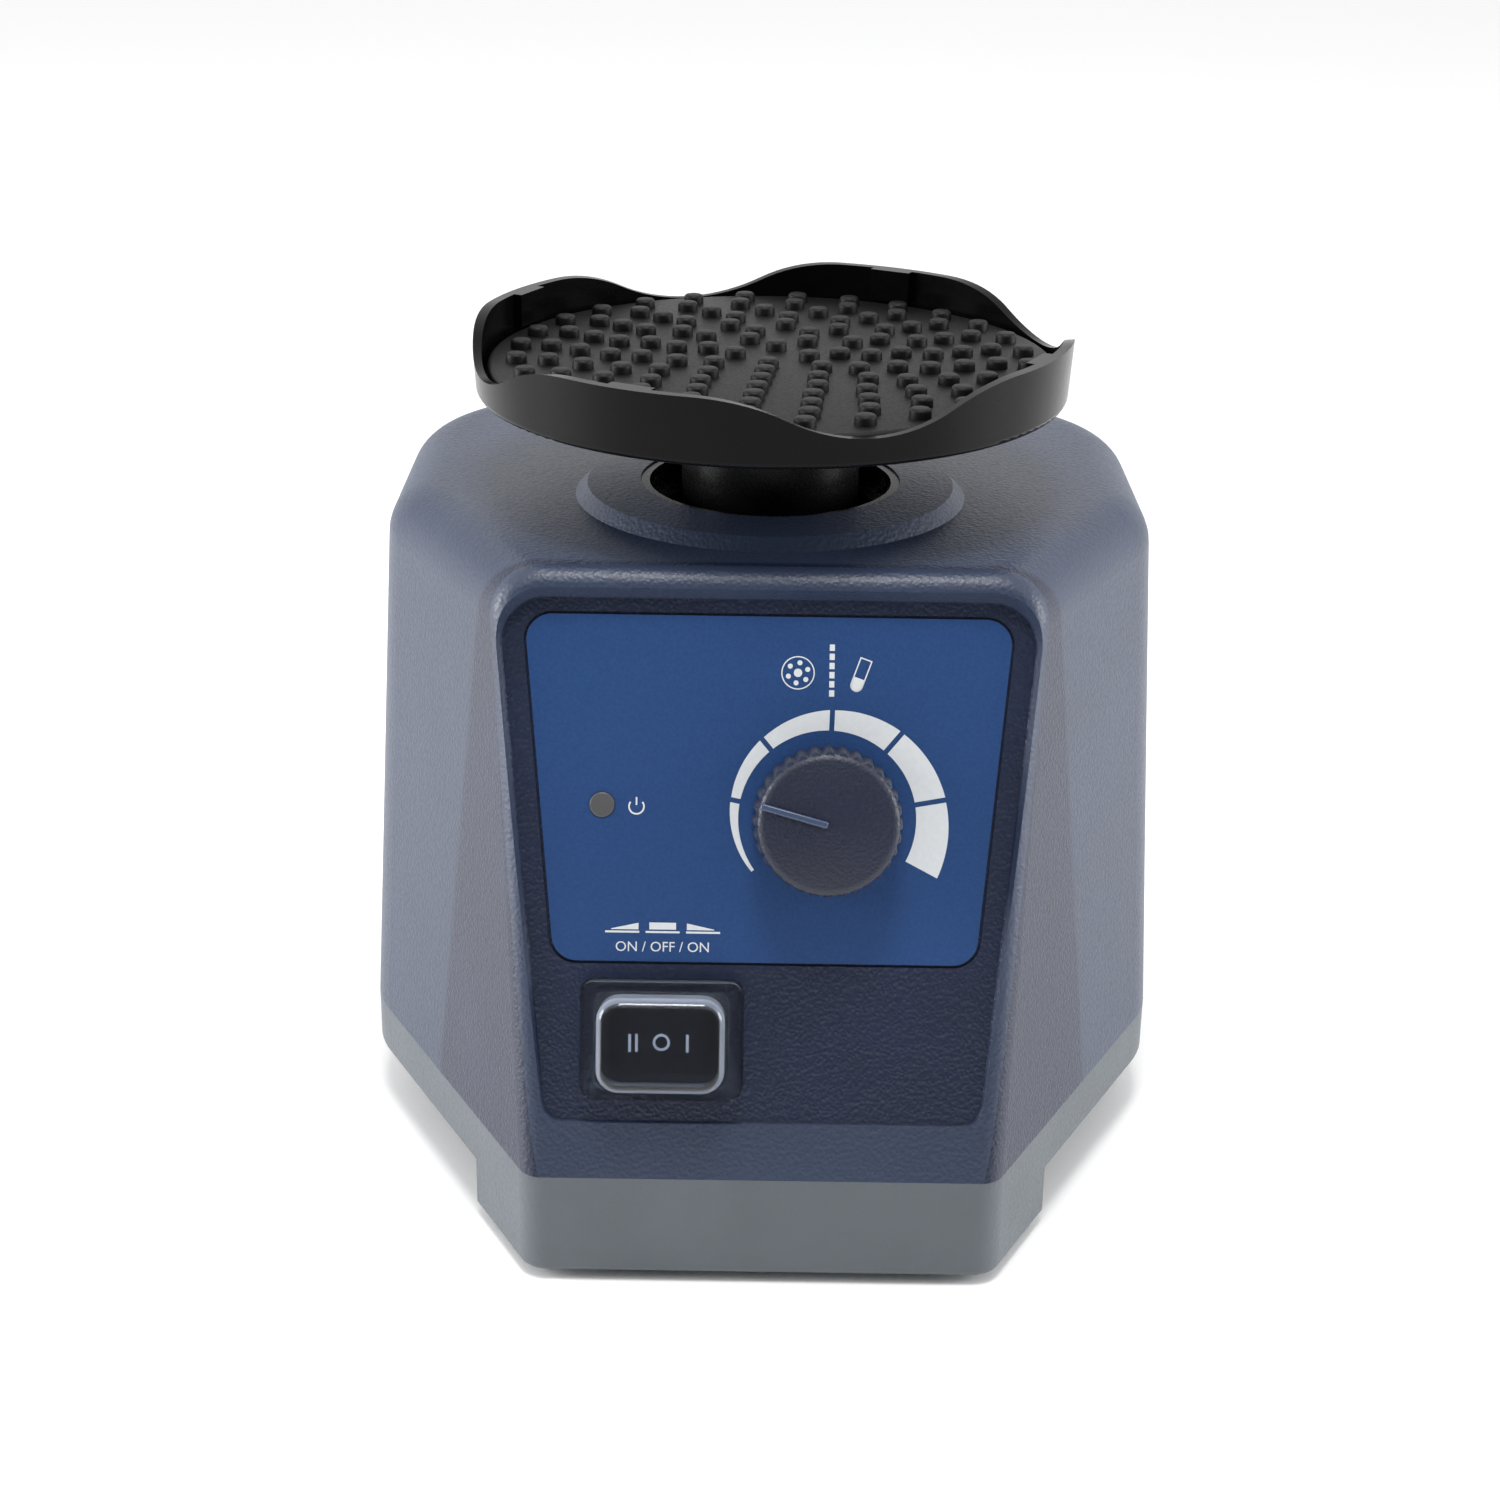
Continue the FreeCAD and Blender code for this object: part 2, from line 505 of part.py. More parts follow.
def plan(inset):
    """The rounded outline shared by casing and base, drawn in by an inset."""
    front_x = f"Dims.front_half - ({inset}) * (1 - sin({FLARE})) / cos({FLARE})"
    front_y = f"-(Dims.front_reach - ({inset}))"
    side_x = f"Dims.side_half - ({inset})"
    flare_y = f"({inset}) * (1 - cos({FLARE})) / sin({FLARE}) - Dims.flare_end"
    rear_y = f"Dims.rear_reach - ({inset})"
    radius = [f"max(Dims.{name}_corner - ({inset}); 1)" for name in ("front", "side", "rear")]
    right = [(front_x, front_y, radius[0]), (side_x, flare_y, radius[1]), (side_x, rear_y, radius[2])]
    left = [(f"-({x})", y, corner) for x, y, corner in reversed(right)]
    return right + left


def pad(body, sketch, length, inward=False, taper=None):
    feature = body.newObject("PartDesign::Pad", f"{body.Name}_pad")
    feature.Profile = sketch
    feature.setExpression("Length", length)
    feature.Reversed = inward
    if taper:
        feature.setExpression("TaperAngle", taper)
    return feature


def pocket(body, sketch, depth, outward=False, taper=None):
    feature = body.newObject("PartDesign::Pocket", f"{body.Name}_pocket")
    feature.Profile = sketch
    feature.setExpression("Length", depth)
    feature.Reversed = outward
    if taper:
        feature.setExpression("TaperAngle", taper)
    return feature


def spin(body, sketch, angle="360"):
    feature = body.newObject("PartDesign::Revolution", f"{body.Name}_spin")
    feature.Profile = sketch
    feature.ReferenceAxis = (sketch, ["V_Axis"])
    feature.setExpression("Angle", angle)
    return feature


def around(body, features, count):
    """Repeats features evenly round the body's Z axis."""
    pattern = body.newObject("PartDesign::PolarPattern", f"{body.Name}_ring")
    pattern.Originals = features
    pattern.Axis = (origin(body, "Z_Axis"), [""])
    pattern.Angle = 360
    pattern.setExpression("Occurrences", count)
    body.Tip = pattern
    return pattern


def mirrored(body, features):
    """Repeats features on the other side of the YZ plane."""
    mirror = body.newObject("PartDesign::Mirrored", f"{body.Name}_mirror")
    mirror.Originals = features
    mirror.MirrorPlane = (origin(body, "YZ_Plane"), [""])
    body.Tip = mirror
    return mirror


def middle(edge):
    return edge.valueAt((edge.FirstParameter + edge.LastParameter) / 2)


def facing(face):
    low_u, high_u, low_v, high_v = face.ParameterRange
    return face.normalAt((low_u + high_u) / 2, (low_v + high_v) / 2)


def named_faces(base, test):
    doc.recompute()
    return [f"Face{number}" for number, face in enumerate(base.Shape.Faces, start=1) if test(face)]


def named_edges(base, test):
    doc.recompute()
    return [f"Edge{number}" for number, edge in enumerate(base.Shape.Edges, start=1) if test(edge)]


def rounded(body, base, test, radius):
    feature = body.newObject("PartDesign::Fillet", f"{body.Name}_round")
    feature.Base = (base, named_edges(base, test))
    feature.setExpression("Radius", radius)
    return feature


def place(piece, x="0", y="0", z="0"):
    for axis, expression in (("x", x), ("y", y), ("z", z)):
        piece.setExpression(f"Placement.Base.{axis}", expression)
    return piece


def on_panel(piece, right="0", up="0"):
    """Stands a piece on the front panel: its +Z out of the panel, its +Y up the slope."""
    piece.Placement = FreeCAD.Placement(FreeCAD.Vector(), FreeCAD.Rotation(TILT_AXIS, 1))
    piece.setExpression("Placement.Rotation.Angle", "90 - Dims.panel_lean")
    return place(piece, right, f"{PANEL_Y} + ({up}) * sin(Dims.panel_lean)",
                 f"{PANEL_Z} + ({up}) * cos(Dims.panel_lean)")


def on_rear(piece):
    """Stands a piece on the rear wall: its +Z out of the wall, its +Y down it."""
    piece.Placement = FreeCAD.Placement(FreeCAD.Vector(), FreeCAD.Rotation(TILT_AXIS, -1))
    piece.setExpression("Placement.Rotation.Angle", "Dims.side_draft - 90")
    return place(piece, "0", INLET_Y, INLET_Z)


def turned(name, profile, angle="360"):
    """A piece turned about its Z axis from a profile of (radius, height) points."""
    body = new_body(name)
    spin(body, outline(sketch_on(body, "XZ_Plane"), profile), angle)
    return body


def ring_profile(inner, outer, low, high):
    return [(inner, low), (outer, low), (outer, high), (inner, high)]


def group(name, pieces):
    """Separate solids of one kind, handed over together."""
    bundle = doc.addObject("Part::Compound", name)
    bundle.Label = name
    bundle.Links = pieces
    return bundle


def screw(name, head, head_height, shank, length, up=False):
    """A pan-head screw whose head seats at Z = 0; its shank goes down, or up."""
    way = "" if up else "-"
    back = "-" if up else ""
    return turned(name, [("0", f"{back}{head_height}"), (head, f"{back}{head_height}"), (head, "0"),
                         (shank, "0"), (shank, f"{way}({length})"), ("0", f"{way}({length})")])


def base_pan():
    """Grey base: a deep well for the ballast, a ledge round it and a finger notch on each side."""
    body = new_body("base_pan")
    block = pad(body, outline(sketch_on(body, lift="Dims.foot_drop"), plan("0")), "Dims.base_height")
    bottom = value("Dims.foot_drop")
    rounded(body, block, lambda edge: all(abs(v.Z - bottom) < 1e-3 for v in edge.Vertexes),
            "Dims.base_edge")
    pocket(body, outline(sketch_on(body, lift=SPLIT), plan("Dims.base_wall")), f"{SPLIT} - {LEDGE}")
    pocket(body, outline(sketch_on(body, lift=SPLIT), plan(WELL_INSET)), f"{SPLIT} - {BALLAST_Z}")
    inset = plan("Dims.notch_depth")
    flare_x = f"({inset[1][0]}) - (Dims.notch_front + {inset[1][1]}) * tan({FLARE})"
    beyond = "Dims.side_half + Dims.notch_depth"
    notch = outline(sketch_on(body, lift="Dims.foot_drop"), [
        (flare_x, "-Dims.notch_front"), (beyond, "-Dims.notch_front"), (beyond, "Dims.notch_back"),
        (inset[1][0], "Dims.notch_back", "Dims.notch_corner"),
        (inset[1][0], inset[1][1], "Dims.side_corner")])
    mirrored(body, [pocket(body, notch, "Dims.notch_height", outward=True)])
    pad(body, circles(sketch_on(body, lift=LEDGE), "Dims.boss_radius", BOSS_PLACES),
        f"{SPLIT} - {LEDGE}")
    under = "Dims.foot_drop"
    pocket(body, circles(sketch_on(body, lift=under), "Dims.foot_radius + Dims.foot_gap", BOSS_PLACES),
           "Dims.foot_recess", outward=True)
    pocket(body, circles(sketch_on(body, lift=under), "Dims.screw_head + Dims.screw_clear", BOSS_PLACES),
           "Dims.screw_seat", outward=True)
    pocket(body, circles(sketch_on(body, lift=under), "Dims.screw_radius + Dims.screw_clear",
                         BOSS_PLACES), "Dims.base_height", outward=True)
    pocket(body, circles(sketch_on(body, lift=BALLAST_Z), "Dims.stud_radius + Dims.screw_play",
                         BALLAST_PLACES), "Dims.stud_grip + Dims.screw_play")
    return sub_part(body)


def feet():
    """Four rubber pads let into the base, over the case screws."""
    for place_name, (x, y) in zip(("front_left", "front_right", "rear_left", "rear_right"), BOSS_PLACES):
        foot = turned(f"foot_{place_name}", [
            ("0", "0"), ("Dims.foot_radius", "0", "Dims.foot_drop / 2"),
            ("Dims.foot_radius", "Dims.foot_drop + Dims.foot_recess"),
            ("0", "Dims.foot_drop + Dims.foot_recess")])
        sub_part(place(foot, x, y))


def case_screws():
    seat = "Dims.foot_drop + Dims.screw_seat"
    length = f"{SPLIT} - ({seat}) + Dims.screw_grip"
    screws = [place(screw(f"case_screw_{number}", "Dims.screw_head", "Dims.screw_head_height",
                          "Dims.screw_radius", length, up=True), x, y, seat)
              for number, (x, y) in enumerate(BOSS_PLACES, start=1)]
    return sub_part(group("case_screws", screws))


def drafted(body, base, test, angle):
    feature = body.newObject("PartDesign::Draft", f"{body.Name}_draft")
    feature.Base = (base, named_faces(base, test))
    feature.NeutralPlane = (base, named_faces(base, lambda face: facing(face).z < -0.99))
    feature.setExpression("Angle", angle)
    return feature


def casing_block(body):
    """The outside of the casing: drafted walls, a leaning front and soft edges."""
    sharp = [corner[:2] for corner in plan("0")]
    block = pad(body, outline(sketch_on(body, lift=SPLIT), sharp), "Dims.casing_height")
    front = drafted(body, block, lambda face: facing(face).y < -0.99, "Dims.front_lean")
    upright = 0.01
    flares = drafted(body, front, lambda face: abs(facing(face).z) < upright
                     and facing(face).y < -upright, "Dims.flare_draft")
    flanks = drafted(body, flares, lambda face: abs(facing(face).z) < upright, "Dims.side_draft")
    foot, top = value(SPLIT), value(TOP)

    def rising(edge):
        heights = sorted(vertex.Z for vertex in edge.Vertexes)
        return heights[0] < foot + 1 and heights[-1] > top - 1

    def at_top(edge):
        return all(abs(vertex.Z - top) < 0.01 for vertex in edge.Vertexes)

    rear = rounded(body, flanks, lambda edge: rising(edge) and middle(edge).y > 0, "Dims.rear_corner")
    widest = -value("Dims.flare_end")
    side = rounded(body, rear, lambda edge: rising(edge) and abs(middle(edge).y - widest)
                   < value("Dims.front_reach") / 3 and edge.Curve.TypeId == "Part::GeomLine"
                   and middle(edge).y < 0, "Dims.side_corner")
    doc.recompute()
    front_top = min(middle(edge).y for edge in side.Shape.Edges if at_top(edge))
    crown = rounded(body, side, lambda edge: at_top(edge) and middle(edge).y > front_top + 1,
                    "Dims.shoulder")
    doc.recompute()
    face = max((face for face in crown.Shape.Faces if facing(face).y < -0.9), key=lambda face: face.Area)
    rim = [edge for edge in face.Edges if middle(edge).z > foot + 0.5]
    return rounded(body, crown, lambda edge: any(edge.isSame(other) for other in rim), "Dims.front_edge")


def panel_outline(grow="0"):
    half = f"Dims.panel_length / 2 + ({grow})"
    lower, upper = "Dims.panel_bottom_corner", "Dims.panel_top_corner"
    return [(f"-Dims.panel_bottom / 2 - ({grow})", f"-({half})", lower),
            (f"Dims.panel_bottom / 2 + ({grow})", f"-({half})", lower),
            (f"Dims.panel_top / 2 + ({grow})", half, upper),
            (f"-Dims.panel_top / 2 - ({grow})", half, upper)]


def label_outline(grow, lift="0"):
    low = f"({lift}) - Dims.label_length / 2 - ({grow})"
    high = f"({lift}) + Dims.label_length / 2 + ({grow})"
    corner = f"Dims.label_corner + ({grow})"
    return [(f"-Dims.label_bottom / 2 - ({grow})", low, corner),
            (f"Dims.label_bottom / 2 + ({grow})", low, corner),
            (f"Dims.label_top / 2 + ({grow})", high, corner),
            (f"-Dims.label_top / 2 - ({grow})", high, corner)]


def upper_casing():
    """Moulded casing: shelled, with a sunk panel, a spill collar, bosses and openings."""
    body = new_body("upper_casing")
    block = casing_block(body)
    shell = body.newObject("PartDesign::Thickness", "upper_casing_shell")
    shell.Base = (block, named_faces(block, lambda face: facing(face).z < -0.99))
    shell.setExpression("Value", "Dims.casing_wall")
    shell.Reversed = True
    # Sunk panel with its backing, label pocket, cap pocket, openings and board posts
    pad(body, outline(panel_sketch(body), panel_outline()), "Dims.panel_wall", inward=True)
    posts = circles(panel_sketch(body), "Dims.post_radius", BOARD_PLACES)
    circles(posts, "Dims.small_radius + Dims.screw_play", BOARD_PLACES)
    pad(body, posts, BOARD_FACE, inward=True)
    pocket(body, outline(panel_sketch(body), panel_outline()), "Dims.panel_flank_reach",
           outward=True, taper="Dims.panel_flank")
    pocket(body, outline(panel_sketch(body), label_outline("Dims.label_gap", "Dims.label_up")),
           "Dims.label_thick")
    pocket(body, rectangle(panel_sketch(body), "Dims.cap_width + 2 * Dims.cap_gap",
                           "Dims.cap_length + 2 * Dims.cap_gap", "Dims.switch_right", "Dims.switch_up",
                           "Dims.cap_corner + Dims.cap_gap"), "Dims.cap_sink")
    openings = rectangle(panel_sketch(body), "Dims.switch_width + 2 * Dims.switch_fit",
                         "Dims.switch_length + 2 * Dims.switch_fit", "Dims.switch_right",
                         "Dims.switch_up")
    circle(openings, "Dims.bush_radius + Dims.screw_play", "Dims.dial_right", "Dims.dial_up")
    circle(openings, "Dims.lamp_radius + Dims.running", "Dims.lamp_right", "Dims.lamp_up")
    pocket(body, openings, "Dims.panel_wall + Dims.casing_wall")
    # Spill collar and the hole for the neck
    inner = "Dims.neck_hole"
    edge = "Dims.collar_radius - Dims.collar_slope"
    spin(body, outline(sketch_on(body, "XZ_Plane"), [
        (inner, CEILING), ("Dims.collar_radius", CEILING), ("Dims.collar_radius", TOP),
        (edge, f"{TOP} + Dims.collar_rise"), (inner, COLLAR_TOP)]))
    pocket(body, circle(sketch_on(body, lift=CEILING), inner),
           f"{COLLAR_TOP} - {CEILING}", outward=True)
    # Screw bosses, the rear ones tied to the wall by ribs
    rise = "(Dims.boss_inset - Dims.boss_radius - 0.3 * Dims.casing_wall) / tan(Dims.front_lean)"
    bosses = circles(sketch_on(body, lift=SPLIT), "Dims.boss_radius", BOSS_PLACES)
    circles(bosses, "Dims.screw_radius + Dims.screw_play", BOSS_PLACES)
    pad(body, bosses, rise)
    ribs = sketch_on(body, lift=SPLIT)
    near = "(Dims.rear_reach - Dims.boss_inset + 0.8 * Dims.boss_radius)"
    far = "(Dims.rear_reach - 0.6 * Dims.casing_wall)"
    for side in (-1, 1):
        rectangle(ribs, "Dims.rib_thick", f"{far} - {near}", f"{side} * Dims.boss_rear",
                  f"({far} + {near}) / 2")
    pad(body, ribs, rise)
    # Mains inlet opening
    pocket(body, rectangle(rear_sketch(body), "Dims.inlet_width + 2 * Dims.inlet_gap",
                           "Dims.inlet_length + 2 * Dims.inlet_gap"), "Dims.inlet_flange")
    pocket(body, rectangle(rear_sketch(body), "Dims.inlet_body_width + 2 * Dims.inlet_gap",
                           "Dims.inlet_body_length + 2 * Dims.inlet_gap"), "2 * Dims.casing_wall")
    return sub_part(body)


def neck_sleeve():
    """Black sleeve that lines the collar's hole and keeps spills off the drive."""
    low = f"{CEILING} - Dims.sleeve_thick"
    high = f"{COLLAR_TOP} - Dims.sleeve_sink"
    outside = "Dims.neck_hole - Dims.sleeve_fit"
    inside = f"{outside} - Dims.sleeve_lip"
    return sub_part(turned("neck_sleeve", [
        ("Dims.sleeve_bore", low), ("Dims.sleeve_flange", low), ("Dims.sleeve_flange", CEILING),
        (outside, CEILING), (outside, high), (inside, high), (inside, CEILING),
        ("Dims.sleeve_bore", CEILING)]))


def control_label():
    body = new_body("control_label")
    face = outline(sketch_on(body), label_outline("0"))
    circle(face, "Dims.bush_radius + Dims.screw_clear", "Dims.dial_right", "Dims.dial_up - Dims.label_up")
    circle(face, "Dims.lamp_radius + Dims.running", "Dims.lamp_right", "Dims.lamp_up - Dims.label_up")
    pad(body, face, "Dims.label_thick", inward=True)
    return sub_part(on_panel(body, "0", "Dims.label_up"))


def indicator():
    """Indicator lens in the label and the diode behind it on the board."""
    lens = turned("indicator_lens", [
        ("0", "-Dims.panel_wall"), ("Dims.lamp_radius", "-Dims.panel_wall"),
        ("Dims.lamp_radius", "Dims.lens_proud", "Dims.lens_proud"), ("0", "Dims.lens_proud")])
    sub_part(on_panel(lens, "Dims.lamp_right", "Dims.lamp_up"))
    foot, tip = f"-{BOARD_FACE}", "-Dims.panel_wall - Dims.running"
    diode = turned("indicator_diode", [
        ("0", foot), ("Dims.lamp_radius", foot), ("Dims.lamp_radius", f"{foot} + Dims.diode_rim"),
        ("Dims.diode_radius", f"{foot} + Dims.diode_rim"),
        ("Dims.diode_radius", tip, "Dims.diode_radius * 0.6"), ("0", tip)])
    sub_part(on_panel(diode, "Dims.lamp_right", "Dims.lamp_up"))


def control_board():
    body = new_body("control_board")
    face = rectangle(sketch_on(body, lift=f"-{BOARD_FACE}"), "Dims.board_width", "Dims.board_length",
                     "Dims.board_right", "Dims.board_up")
    circles(face, "Dims.small_radius + Dims.screw_clear", BOARD_PLACES)
    pad(body, face, "Dims.board_thick", inward=True)
    return sub_part(on_panel(body))


def board_parts():
    """What stands on the back of the board: two capacitors, a heat sink and a terminal block."""
    back = f"-({BOARD_FACE} + Dims.board_thick)"
    pieces = []
    for number, side in enumerate((-1, 1), start=1):
        can = new_body(f"capacitor_{number}")
        face = circle(sketch_on(can, lift=back), "Dims.capacitor_radius",
                      "Dims.board_right + Dims.capacitor_right",
                      f"Dims.board_up + {side} * Dims.capacitor_up")
        pad(can, face, "Dims.capacitor_height", inward=True)
        pieces.append(can)
    for name, size in (("heat_sink", "sink"), ("terminal_block", "block")):
        block = new_body(name)
        face = rectangle(sketch_on(block, lift=back), f"Dims.{size}_width", f"Dims.{size}_length",
                         f"Dims.board_right + Dims.{size}_right", "Dims.board_up")
        pad(block, face, f"Dims.{size}_height", inward=True)
        pieces.append(block)
    return sub_part(on_panel(group("board_parts", pieces)))


def board_screws():
    back = f"-({BOARD_FACE} + Dims.board_thick)"
    pieces = []
    for number, (right, up) in enumerate(BOARD_PLACES, start=1):
        piece = screw(f"board_screw_{number}", "Dims.small_head", "Dims.small_head_height",
                      "Dims.small_radius", "Dims.board_thick + Dims.small_grip", up=True)
        pieces.append(place(piece, right, up, back))
    return sub_part(on_panel(group("board_screws", pieces)))


def speed_control():
    """Potentiometer behind the panel, its nut in front and the spindle that the knob turns."""
    bore = "Dims.spindle_radius + Dims.running"
    rear = f"-{BOARD_FACE}"
    tail = f"{rear} + Dims.board_gap / 4"
    control = turned("potentiometer", [
        ("0", rear), ("Dims.pot_radius", rear), ("Dims.pot_radius", "-Dims.panel_wall"),
        ("Dims.bush_radius", "-Dims.panel_wall"), ("Dims.bush_radius", "Dims.bush_length"),
        (bore, "Dims.bush_length"), (bore, tail), ("0", tail)])
    sub_part(on_panel(control, "Dims.dial_right", "Dims.dial_up"))
    nut = new_body("pot_nut")
    across = "Dims.nut_flats / sqrt(3)"
    hexagon = outline(sketch_on(nut), [(f"{across} * cos({60 * turn})", f"{across} * sin({60 * turn})")
                                       for turn in range(6)])
    circle(hexagon, "Dims.bush_radius + Dims.screw_play")
    pad(nut, hexagon, "Dims.nut_height")
    sub_part(on_panel(nut, "Dims.dial_right", "Dims.dial_up"))
    top = "Dims.knob_height - Dims.knob_wall"
    spindle = turned("pot_spindle", [
        ("0", f"{tail} + Dims.running"), ("Dims.spindle_radius", f"{tail} + Dims.running"),
        ("Dims.spindle_radius", top), ("0", top)])
    sub_part(on_panel(spindle, "Dims.dial_right", "Dims.dial_up"))


def speed_knob():
    """Fluted knob with a crowned face, a raised pointer and a hollow skirt over the nut."""
    body = new_body("speed_knob")
    face = "Dims.knob_radius - Dims.knob_taper"
    crown = "Dims.knob_height + Dims.knob_crown"
    hollow = "Dims.knob_gap + Dims.knob_skirt"
    inner = "Dims.knob_radius - Dims.knob_wall"
    top = "Dims.knob_height - Dims.knob_wall"
    spin(body, outline(sketch_on(body, "XZ_Plane"), [
        ("Dims.spindle_radius", hollow), (inner, hollow), (inner, "Dims.knob_gap"),
        ("Dims.knob_radius", "Dims.knob_gap"), (face, "Dims.knob_height", "Dims.knob_edge"), ("0", crown),
        ("0", top), ("Dims.spindle_radius", top)]))
    flute = pocket(body, circle(sketch_on(body, lift="Dims.knob_gap"), "Dims.flute_radius",
                                "Dims.knob_radius + 0.35 * Dims.flute_radius"),
                   "Dims.knob_height - 2 * Dims.knob_gap", outward=True)
    around(body, [flute], "Dims.flute_count")
    pointer = turned_sketch(body, "XY_Plane", FreeCAD.Vector(0, 0, 1), "Dims.pointer_angle",
                            "Dims.knob_height - Dims.knob_crown")
    rectangle(pointer, face, "Dims.pointer_width", f"({face}) / 2")
    pad(body, pointer, "2 * Dims.knob_crown + Dims.pointer_rise")
    return sub_part(on_panel(body, "Dims.dial_right", "Dims.dial_up"))


def rocker_switch():
    """Switch body with its rim and well, three terminals, the rocker and the clear cap."""
    at = ("Dims.switch_right", "Dims.switch_up")
    sunk = "-Dims.cap_sink"
    body = new_body("switch_housing")
    pad(body, rectangle(sketch_on(body, lift=sunk), "Dims.bezel_width", "Dims.bezel_length",
                        corner="Dims.dome_edge"), "Dims.bezel_thick")
    pad(body, rectangle(sketch_on(body, lift=sunk), "Dims.switch_width", "Dims.switch_length"),
        "Dims.switch_depth", inward=True)
    pocket(body, rectangle(sketch_on(body, lift=RIM_FACE), "Dims.well_width", "Dims.well_length"),
           "Dims.well_depth")
    pivots = circle(sketch_on(body, "XZ_Plane", "-(Dims.well_length / 2 + Dims.trunnion_reach)"),
                    "Dims.trunnion_radius + Dims.running", "0", PIVOT)
    pocket(body, pivots, "Dims.well_length + 2 * Dims.trunnion_reach", outward=True)
    sub_part(on_panel(body, *at))
    tabs = []
    tail = "-(Dims.switch_depth + Dims.cap_sink)"
    for number in (-1, 0, 1):
        tab = new_body(f"switch_tab_{number + 2}")
        pad(tab, rectangle(sketch_on(tab, lift=tail), "Dims.tab_thick", "Dims.tab_width",
                           f"{number} * Dims.tab_pitch"), "Dims.tab_length", inward=True)
        tabs.append(tab)
    sub_part(on_panel(group("switch_terminals", tabs), *at))
    sub_part(on_panel(rocker(), *at))
    sub_part(on_panel(switch_cap(), *at))


def rocker():
    """Dished rocker whose ends are round about its pivot, with a pin at each side."""
    body = new_body("rocker")
    sweep = "(Dims.well_width / 2 - Dims.rocker_gap)"
    up = f"({RIM_FACE} + Dims.rocker_ends - {PIVOT})"
    top_x = f"sqrt({sweep} * {sweep} - {up} * {up})"
    low_x = f"sqrt({sweep} * {sweep} - Dims.rocker_below * Dims.rocker_below)"
    top_z = f"{PIVOT} + {up}"
    low_z = f"{PIVOT} - Dims.rocker_below"
    width = "Dims.well_length - 2 * Dims.rocker_gap"
    side = sketch_on(body, "XZ_Plane", f"-({width}) / 2")
    spots = [(f"-{top_x}", top_z), ("0", f"{top_z} - Dims.rocker_dip"), (top_x, top_z),
             (low_x, low_z), (f"-{low_x}", low_z)]
    points = [FreeCAD.Vector(value(x), value(z), 0) for x, z in spots]
    reach = value(sweep)
    bulge = [FreeCAD.Vector(sign * reach, value(PIVOT), 0) for sign in (1, -1)]
    side.addGeometry(Part.LineSegment(points[0], points[1]), False)
    side.addGeometry(Part.LineSegment(points[1], points[2]), False)
    right = side.addGeometry(Part.Arc(points[3], bulge[0], points[2]), False)
    side.addGeometry(Part.LineSegment(points[3], points[4]), False)
    left = side.addGeometry(Part.Arc(points[0], bulge[1], points[4]), False)
    joins = ((0, 2, 1, 1), (1, 2, right, 2), (right, 1, 3, 1), (3, 2, left, 2), (left, 1, 0, 1))
    for one, end, other, start in joins:
        side.addConstraint(Sketcher.Constraint("Coincident", one, end, other, start))
    for (x, z), (line, end) in zip(spots, ((0, 1), (1, 1), (1, 2), (3, 1), (3, 2))):
        tie(side, "DistanceX", line, end, x)
        tie(side, "DistanceY", line, end, z)
    for arc in (right, left):
        tie_radius(side, arc, sweep)
    pad(body, side, width)
    reach_out = "(Dims.well_length / 2 + Dims.trunnion_reach - Dims.running)"
    pins = circle(sketch_on(body, "XZ_Plane", f"-{reach_out}"), "Dims.trunnion_radius", "0", PIVOT)
    pad(body, pins, f"2 * {reach_out}")
    return body


def switch_cap():
    """Clear splash cap: a flange over the switch rim and a hollow dome over the rocker."""
    body = new_body("switch_cap")
    sunk = "-Dims.cap_sink"
    pad(body, rectangle(sketch_on(body, lift=sunk), "Dims.cap_width", "Dims.cap_length",
                        corner="Dims.cap_corner"), f"{CAP_FLANGE} + Dims.cap_sink")
    dome = pad(body, rectangle(sketch_on(body, lift=CAP_FLANGE), "Dims.dome_width", "Dims.dome_length",
                               corner="Dims.dome_corner"), "Dims.dome_height")
    top = value(f"{CAP_FLANGE} + Dims.dome_height")
    rounded(body, dome, lambda edge: all(abs(v.Z - top) < 1e-3 for v in edge.Vertexes),
            "Dims.dome_edge")
    pocket(body, rectangle(sketch_on(body, lift=sunk), "Dims.bezel_width + 2 * Dims.cap_gap",
                           "Dims.bezel_length + 2 * Dims.cap_gap", corner="Dims.dome_edge"),
           "Dims.bezel_thick + Dims.cap_gap", outward=True)
    pocket(body, rectangle(sketch_on(body, lift=sunk), "Dims.dome_width - 2 * Dims.dome_wall",
                           "Dims.dome_length - 2 * Dims.dome_wall",
                           corner="Dims.dome_corner - Dims.dome_wall"),
           f"{CAP_FLANGE} + Dims.cap_sink + Dims.dome_height - Dims.dome_wall", outward=True)
    return body


